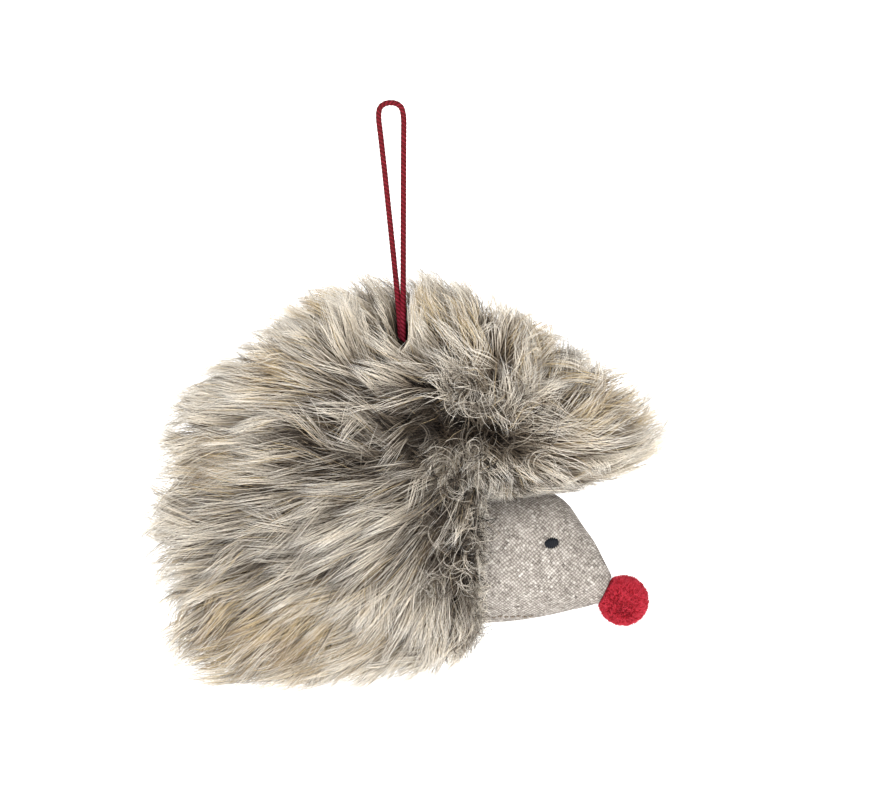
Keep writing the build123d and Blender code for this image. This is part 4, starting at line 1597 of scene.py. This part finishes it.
        # Strands that pass the partings are painted dark: partly the parted pile's dark depth, partly painted
        # shade
        shaded = sum(self.near(lines[:, -place], self.partings_and_painted_shade) for place in (1, 2, 3)) / 3
        shaded = np.where(stays, 0.1, 1.0) * shaded
        tones = np.minimum(tones - 0.5 * shaded, 0.7)
        tan = self.near(tips, self.tan_patches) * (1 - np.clip(shaded, 0, 1))
        tones = np.where(self.rng.random(count) < tan, self.rng.uniform(0.78, 0.95, count), tones)
        stray = self.rng.random(count)
        tones = np.where(stray < 0.09, self.rng.uniform(0.02, 0.2, count), tones)
        return np.where(stray > 0.965, self.rng.uniform(0.8, 0.97, count), tones)

    def add(self, frame: dict, finishes: Finishes) -> None:
        """Builds the coat, and dresses it and its seam's thread."""
        filling = finishes.fit(self.build_filling(), "filling", "hedgehog", "body_stuffing")
        for side in Side:
            finishes.fit(self.build_backing(side), "backing", "hedgehog", f"fur_panel_{side.word}")
        for layer in self.layers:
            strands = self.grow(layer)
            self.lay_pile(layer.name, strands, layer.pieces_per_side, (0.0, layer.top), finishes)
        self.lay_pile("fringe", self.grow_fringe(), 1, (0.4, 0.95), finishes)
        self.lay_pile("curls", self.grow_curls(), 1, (0.15, 0.95), finishes)
        finishes.dress(frame["nodes"]["coat_seam_thread"], "brown_thread")

    def lay_pile(self, name: str, strands: Strands, pieces: int, span: Pair, finishes: Finishes) -> None:
        """Lays strands as pieces on their own side of the coat.

        Args:
            name: the pieces' name, before their side.
            strands: the strands.
            pieces: how many pieces a side's strands are shared out to, from tail to nose.
            span: how far up the pile's colours the roots and the tips lie.
            finishes: the finishes.
        """
        starts = strands.lines[:, 0]
        for side in Side:
            mine = np.flatnonzero(np.sign(starts[:, 1] + 1e-9) == side.value)
            order = mine[np.argsort(starts[mine, 0])]
            for number, part in enumerate(np.array_split(order, pieces)):
                label = f"{name}_{side.word}" + (f"_{number + 1}" if pieces > 1 else "")
                piece = strand_mesh(label, strands.some(part), span)
                finishes.fit(piece, "pile", "hedgehog", f"fur_panel_{side.word}")
                log.info("%s: %d strands, %d faces", label, len(part), len(piece.data.polygons))


def stitch_rings(
    start: Array, end: Array, out: Array, thickness: float, rise: float
) -> tuple[Array, Array, Array]:
    """A sewn stitch: a thread whose line is a half wave above the cloth from end to end.

    At the share s of the way the line stands rise times the sine of pi s above the chord, and the
    thread's half thickness follows the root of that sine, so that it narrows into the cloth.

    Args:
        start, end: the stitch's ends, on the cloth.
        out: the way out of the cloth.
        thickness: the thread's thickness.
        rise: how far the thread's middle stands out.

    Returns:
        The rings of points, the two end points and the length up to each ring.
    """
    share = np.linspace(0.04, 0.96, 13)
    line = start + (end - start) * share[:, None] + out * (rise * np.sin(math.pi * share))[:, None]
    ways = unit(np.gradient(line, axis=0))
    beside = unit(np.cross(ways, out))
    above = np.cross(beside, ways)
    angle = 2 * math.pi * np.arange(10) / 10
    radius = thickness / 2 * np.sin(math.pi * share) ** 0.45
    rings = line[:, None] + radius[:, None, None] * (
        beside[:, None] * np.cos(angle)[:, None] + above[:, None] * np.sin(angle)[:, None]
    )
    return rings, np.stack((start, end)), share * np.linalg.norm(end - start)


def join_pieces(name: str, pieces: list[bpy.types.Object]) -> bpy.types.Object:
    """Makes one piece of several, under one name."""
    with bpy.context.temp_override(active_object=pieces[0], selected_editable_objects=pieces):
        bpy.ops.object.join()
    pieces[0].name = name
    return pieces[0]


@dataclass
class Head:
    """The linen face over its filling, with the eyes, the chin's stitches and the threads inside."""

    form: HeadForm
    linen_thickness: float = 0.7
    # The linen of one panel before it is stretched over the filling
    linen_length: float = 50.0
    linen_width: float = 54.0
    linen_area: float = 2200.0
    filling_gap: float = 0.25
    seam_groove: float = 0.45
    eye_place: Pair = (0.546, 0.621)
    eye_stitches: int = 7
    eye_length: float = 3.3
    eye_width: float = 3.7
    eye_slant: float = 12.0
    chin_stitches: int = 9
    chin_start: float = 2.1
    chin_length: float = 14.0
    chin_height: float = 2.4
    chin_stitch: float = 1.4
    chin_thread: float = 0.56

    def build_linen(self, side: Side) -> bpy.types.Object:
        """Builds one panel of linen as a shell, with its weave's map in millimetres."""
        grid = np.meshgrid(np.linspace(-0.2, 1.0, 90), np.linspace(-1, 1, 56), indexing="ij")
        outer = self.form.place(*grid, side, groove=self.seam_groove)
        inner = self.form.place(*grid, side, inset=self.linen_thickness)
        return shell_mesh(f"linen_face_{side.word}", outer, inner, self.form.cloth_lengths(*grid))

    def build_filling(self) -> bpy.types.Object:
        """Builds the head's filling: both sides' bows joined into closed sections, from neck to snout."""
        inset = self.linen_thickness + self.filling_gap
        grid = np.meshgrid(np.linspace(-0.1, 0.97, 40), np.linspace(-1, 1, 30), indexing="ij")
        halves = [self.form.place(*grid, side, inset=inset) for side in Side]
        rings = np.concatenate((halves[0], halves[1][:, ::-1]), axis=1)
        ends = rings[[0, -1]].mean(1)
        return tube_mesh("head_filling", rings, ends)

    def cloth_place(self, along: float, up: float, side: Side) -> tuple[Array, Array]:
        """A point on the cloth by its lengths from the head's start, and the way out of the cloth there."""
        share = np.array(along / self.form.length)
        radius, middle, out, _ = self.form.bow(share)
        above = self.form.start[2] + up - float(middle)
        reach = math.sqrt(float(radius) ** 2 - above**2)
        beside = side.value * (reach + float(out - radius))
        point = (self.form.start[0] + along, beside, self.form.start[2] + up)
        return np.array(point), unit(np.array((0.0, side.value * reach, above)))

    def stitched(
        self, name: str, side: Side, middles: list[Triple], slant: float, thickness: float, rise: float
    ) -> bpy.types.Object:
        """Builds a group of stitches on the cloth.

        Args:
            name: the piece's name.
            side: which side of the head.
            middles: for each stitch, its middle's lengths along and up, and the stitch's length.
            slant: the stitches' angle off level, in degrees.
            thickness: the thread's thickness.
            rise: how far a stitch's middle stands out.

        Returns:
            The piece.
        """
        way = np.array((math.cos(math.radians(slant)), math.sin(math.radians(slant))))
        made = []
        for along, up, length in middles:
            ends = [np.array((along, up)) + way * reach for reach in (-length / 2, length / 2)]
            start, end = (self.cloth_place(*place, side)[0] for place in ends)
            out = self.cloth_place(along, up, side)[1]
            made.append(tube_mesh(name, *stitch_rings(start, end, out, thickness, rise)))
        return join_pieces(name, made)

    def build_eye(self, side: Side) -> bpy.types.Object:
        """Builds an eye: satin stitches side by side, their lengths those of the chords of an oval."""
        slant = math.radians(self.eye_slant)
        place = np.array(self.eye_place) * (self.form.length, self.form.height)
        middles = []
        for number in range(self.eye_stitches):
            share = (number - (self.eye_stitches - 1) / 2) / (self.eye_stitches / 2)
            step = share * self.eye_width / 2
            length = self.eye_length * math.sqrt(1 - 0.85 * share**2)
            middles.append((place[0] + step * math.cos(slant), place[1] + step * math.sin(slant), length))
        spacing = self.eye_width / self.eye_stitches
        return self.stitched(f"satin_eye_{side.word}", side, middles, 90 + self.eye_slant, spacing * 1.5, 0.4)

    def build_chin(self, side: Side) -> bpy.types.Object:
        """Builds one side's row of closing stitches."""
        step = self.chin_length / (self.chin_stitches - 1)
        middles = []
        for number in range(self.chin_stitches):
            height = self.chin_height + 0.16 * math.sin(2.4 * number)
            middles.append((self.chin_start + number * step, height, self.chin_stitch))
        return self.stitched(f"chin_stitching_{side.word}", side, middles, 4.0, self.chin_thread, 0.2)

    def add(self, frame: dict, finishes: Finishes) -> None:
        """Builds the head and dresses it, the stitches and the threads."""
        filling = finishes.fit(self.build_filling(), "filling", "hedgehog", "head_stuffing")
        for side in Side:
            word = side.word
            linen = finishes.fit(self.build_linen(side), "linen", "hedgehog", f"face_panel_{word}")
            finishes.fit(self.build_eye(side), "eye_silk", "hedgehog", f"eye_{word}")
            finishes.fit(self.build_chin(side), "brown_thread", "hedgehog", "chin_stitches")
            log.info("face, %s side: %d faces of linen", word, len(linen.data.polygons))
        for node in ("eye_thread", "face_seam_thread", "neck_seam_thread"):
            finishes.dress(frame["nodes"][node], "brown_thread")


@dataclass
class Nose:
    """The pompom of short red pile, its binding and the sewn shank behind it."""

    head: HeadForm
    centre: Triple = (66.237, 0.0, -141.107)
    radius: float = 7.4
    core: float = 6.3
    thickness: float = 0.28
    strands: int = 7000
    tufts: int = 900
    gap: float = 0.4
    snout_radius: float = 3.3
    seed: int = 21

    def flatten(self, points: Array) -> Array:
        """Keeps points at least gap ahead of the snout's blunt end, where they would lie on it."""
        out = np.array(self.head.snout_out)
        off = points - np.array(self.head.snout_end)
        beside = np.sqrt(points[..., 1] ** 2 + (off @ np.array((-out[2], 0.0, out[0]))) ** 2)
        behind = 1 - smooth_step(self.snout_radius, self.snout_radius + 0.9, beside)
        return points + (np.maximum(self.gap - off @ out, 0) * behind)[..., None] * out

    def build_core(self) -> bpy.types.Object:
        """Builds the dense middle: a ball whose radius swells and dips with crossed sines of both angles."""
        turn, rise = np.meshgrid(2 * math.pi * np.arange(64) / 64, np.radians(np.linspace(-84, 84, 34)))
        dimples, ridges = 0.02 * np.sin(7 * turn) * np.sin(6 * rise), 0.015 * np.sin(11 * turn + 4 * rise)
        radius = self.core * (1 + dimples + ridges)
        ball = np.stack((np.cos(rise) * np.cos(turn), np.cos(rise) * np.sin(turn), np.sin(rise)), axis=-1)
        poles = self.core * np.array(((0, 0, -1), (0, 0, 1)))
        points = np.concatenate(((radius[..., None] * ball).reshape(-1, 3), poles))
        points = self.flatten(points + np.array(self.centre))
        faces = facing_out(points, ball_faces(34, 64))
        places = 0.5 + (points - np.array(self.centre))[:, (0, 2)] / (2.4 * self.core)
        # The core takes the ramps' dark root end: painted shade under the pile
        places[:, 1] *= 0.3
        return lay_mesh("pompom_core", points, faces, [places[rows] for rows in faces], "OFBake")

    def build_pile(self) -> bpy.types.Object:
        """Builds the pile: strands that stand out from the core, each tuft leaning its own way.

        The roots are spread over a ball by the golden angle, and far is each point's distance from the
        centre.
        """
        rng, count = np.random.default_rng(self.seed), self.strands
        number = np.arange(count)
        height = 1 - 2 * (number + 0.5) / count
        turn = number * math.pi * (3 - math.sqrt(5))
        flat = np.sqrt(1 - height**2)
        out = np.stack((flat * np.cos(turn), flat * np.sin(turn), height), axis=-1)
        out = unit(out + 0.02 * rng.normal(size=(count, 3)))
        pick = rng.choice(count, self.tufts, replace=False)
        tuft = pick[(out @ out[pick].T).argmax(1)]
        chance = rng.normal(size=(count, 3))
        lean = 0.2 * chance[tuft] + 0.12 * rng.normal(size=(count, 3)) + np.array((0.05, 0.0, 0.3))
        lean -= (lean * out).sum(-1, keepdims=True) * out
        tall = self.radius * (1 + 0.012 * rng.normal(size=count)[tuft] + 0.01 * rng.normal(size=count))
        up = np.linspace(0, 1, 4)[None, :, None]
        low = self.core * 0.9
        far = low + (tall[:, None, None] - low) * up
        lines = unit(out[:, None] * far + lean[:, None] * 1.9 * up**1.6) * far
        lines = self.flatten(lines + np.array(self.centre))
        radii = self.thickness / 2 * np.array((1.0, 1.0, 0.85)) * rng.uniform(0.8, 1.25, count)[:, None]
        tones = np.clip(0.5 + 0.2 * chance[tuft, 0] + 0.12 * rng.normal(size=count), 0.02, 0.98)
        beside = unit(np.cross(out, chance) + 1e-6)
        return strand_mesh("pompom_pile", Strands(lines, radii, tones, beside))

    def add(self, frame: dict, finishes: Finishes) -> None:
        """Builds the pompom and dresses it, its binding and its shank."""
        for piece in (self.build_core(), self.build_pile()):
            finishes.fit(piece, "pompom_yarn", "nose", "nose_pompom")
            log.info("%s: %d faces", piece.name, len(piece.data.polygons))
        for node in ("nose_thread", "nose_binding"):
            finishes.dress(frame["nodes"][node], "red_thread")


# The studio


@dataclass
class Studio:
    """A pale floor that sweeps up into a backdrop, soft lights and the camera of the photograph."""

    floor: float = -300.0
    eye: Triple = (14.535, -1200.0, -84.79)
    lens: float = 171.5
    sweep_radius: float = 500.0
    sweep_front: float = -7000.0
    sweep_back: float = 1700.0
    sweep_top: float = 2400.0
    sweep_glow: float = 0.62
    world_light: float = 0.74
    # Each soft light's name, place, aim, size and power in watts
    lights: tuple[tuple[str, Triple, Triple, float, float], ...] = (
        ("key", (-600.0, -1050.0, 560.0), (5.0, 0.0, -95.0), 600.0, 11.8),
        ("front", (200.0, -1150.0, -120.0), (55.0, 0.0, -120.0), 300.0, 3.4),
        ("fill", (800.0, -950.0, -150.0), (45.0, 0.0, -125.0), 800.0, 7.5),
        ("rim", (-300.0, 900.0, 700.0), (5.0, 0.0, -95.0), 700.0, 5.0),
    )

    def build_sweep(self) -> bpy.types.Object:
        """Builds the floor and backdrop: a level run, a quarter circle and an upright run, along X."""
        back, radius = self.sweep_back, self.sweep_radius
        level = np.linspace(self.sweep_front, back, 20)
        quarter = np.linspace(0, math.pi / 2, 24)[1:]
        upright = np.linspace(self.floor + radius, self.sweep_top, 12)[1:]
        y = np.concatenate((level, back + radius * np.sin(quarter), np.full(len(upright), back + radius)))
        low = np.full(len(level), self.floor)
        z = np.concatenate((low, self.floor + radius * (1 - np.cos(quarter)), upright))
        x = np.linspace(self.sweep_front, -self.sweep_front, 15)
        front = np.stack([np.broadcast_to(part, (len(x), len(y))) for part in (x[:, None], y, z)], axis=-1)
        return shell_mesh("sweep", front, front + np.array((0.0, 4.0, -4.0)))

    def add_light(self, name: str, place: Triple, aim: Triple, size: float, power: float) -> None:
        """Adds one square soft light that looks at a point."""
        lamp = bpy.data.lights.new(name, "AREA")
        lamp.size, lamp.energy = size * MM, power
        holder = bpy.data.objects.new(name, lamp)
        way = np.array(aim) - np.array(place)
        holder.location = tuple(np.array(place) * MM)
        turn = math.atan2(way[1], way[0]) - math.pi / 2
        holder.rotation_euler = (math.pi / 2 + math.asin(way[2] / np.linalg.norm(way)), 0.0, turn)
        bpy.context.scene.collection.objects.link(holder)

    def add(self) -> None:
        """Builds the sweep, the lights and the camera."""
        sweep = self.build_sweep()
        shader = Shader("sweep", roughness=1.0, specular=0.0, Emission_Strength=self.sweep_glow)
        grain = shader.noise(shader.place(), 0.004, 2.0)
        shader.set("Base Color", shader.ramp(grain, (0.3, "f4f4f4"), (0.7, "ffffff")))
        shader.set("Emission Color", from_hex("ffffff"))
        sweep.data.materials.append(shader.material)
        world = bpy.data.worlds.new("studio")
        world.use_nodes = True
        background = world.node_tree.nodes["Background"].inputs
        background["Color"].default_value = from_hex("ffffff")
        background["Strength"].default_value = self.world_light
        bpy.context.scene.world = world
        for light in self.lights:
            self.add_light(*light)
        camera = bpy.data.cameras.new("camera")
        camera.lens, camera.sensor_width = self.lens, 36.0
        camera.clip_start, camera.clip_end = 0.05, 50.0
        holder = bpy.data.objects.new("camera", camera)
        holder.location = tuple(value * MM for value in self.eye)
        holder.rotation_euler = (math.pi / 2, 0.0, 0.0)
        bpy.context.scene.collection.objects.link(holder)
        bpy.context.scene.camera = holder
        bpy.context.scene.view_settings.view_transform = "Standard"


def main() -> None:
    """Dresses the object from its loop to its nose."""
    logging.basicConfig(level=logging.INFO, format="%(message)s")
    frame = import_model()
    finishes = Finishes()
    head = HeadForm()
    Studio().add()
    HangingLoop().add(frame, finishes)
    Coat(head).add(frame, finishes)
    Head(head).add(frame, finishes)
    Nose(head).add(frame, finishes)


if __name__ == "__main__":
    main()
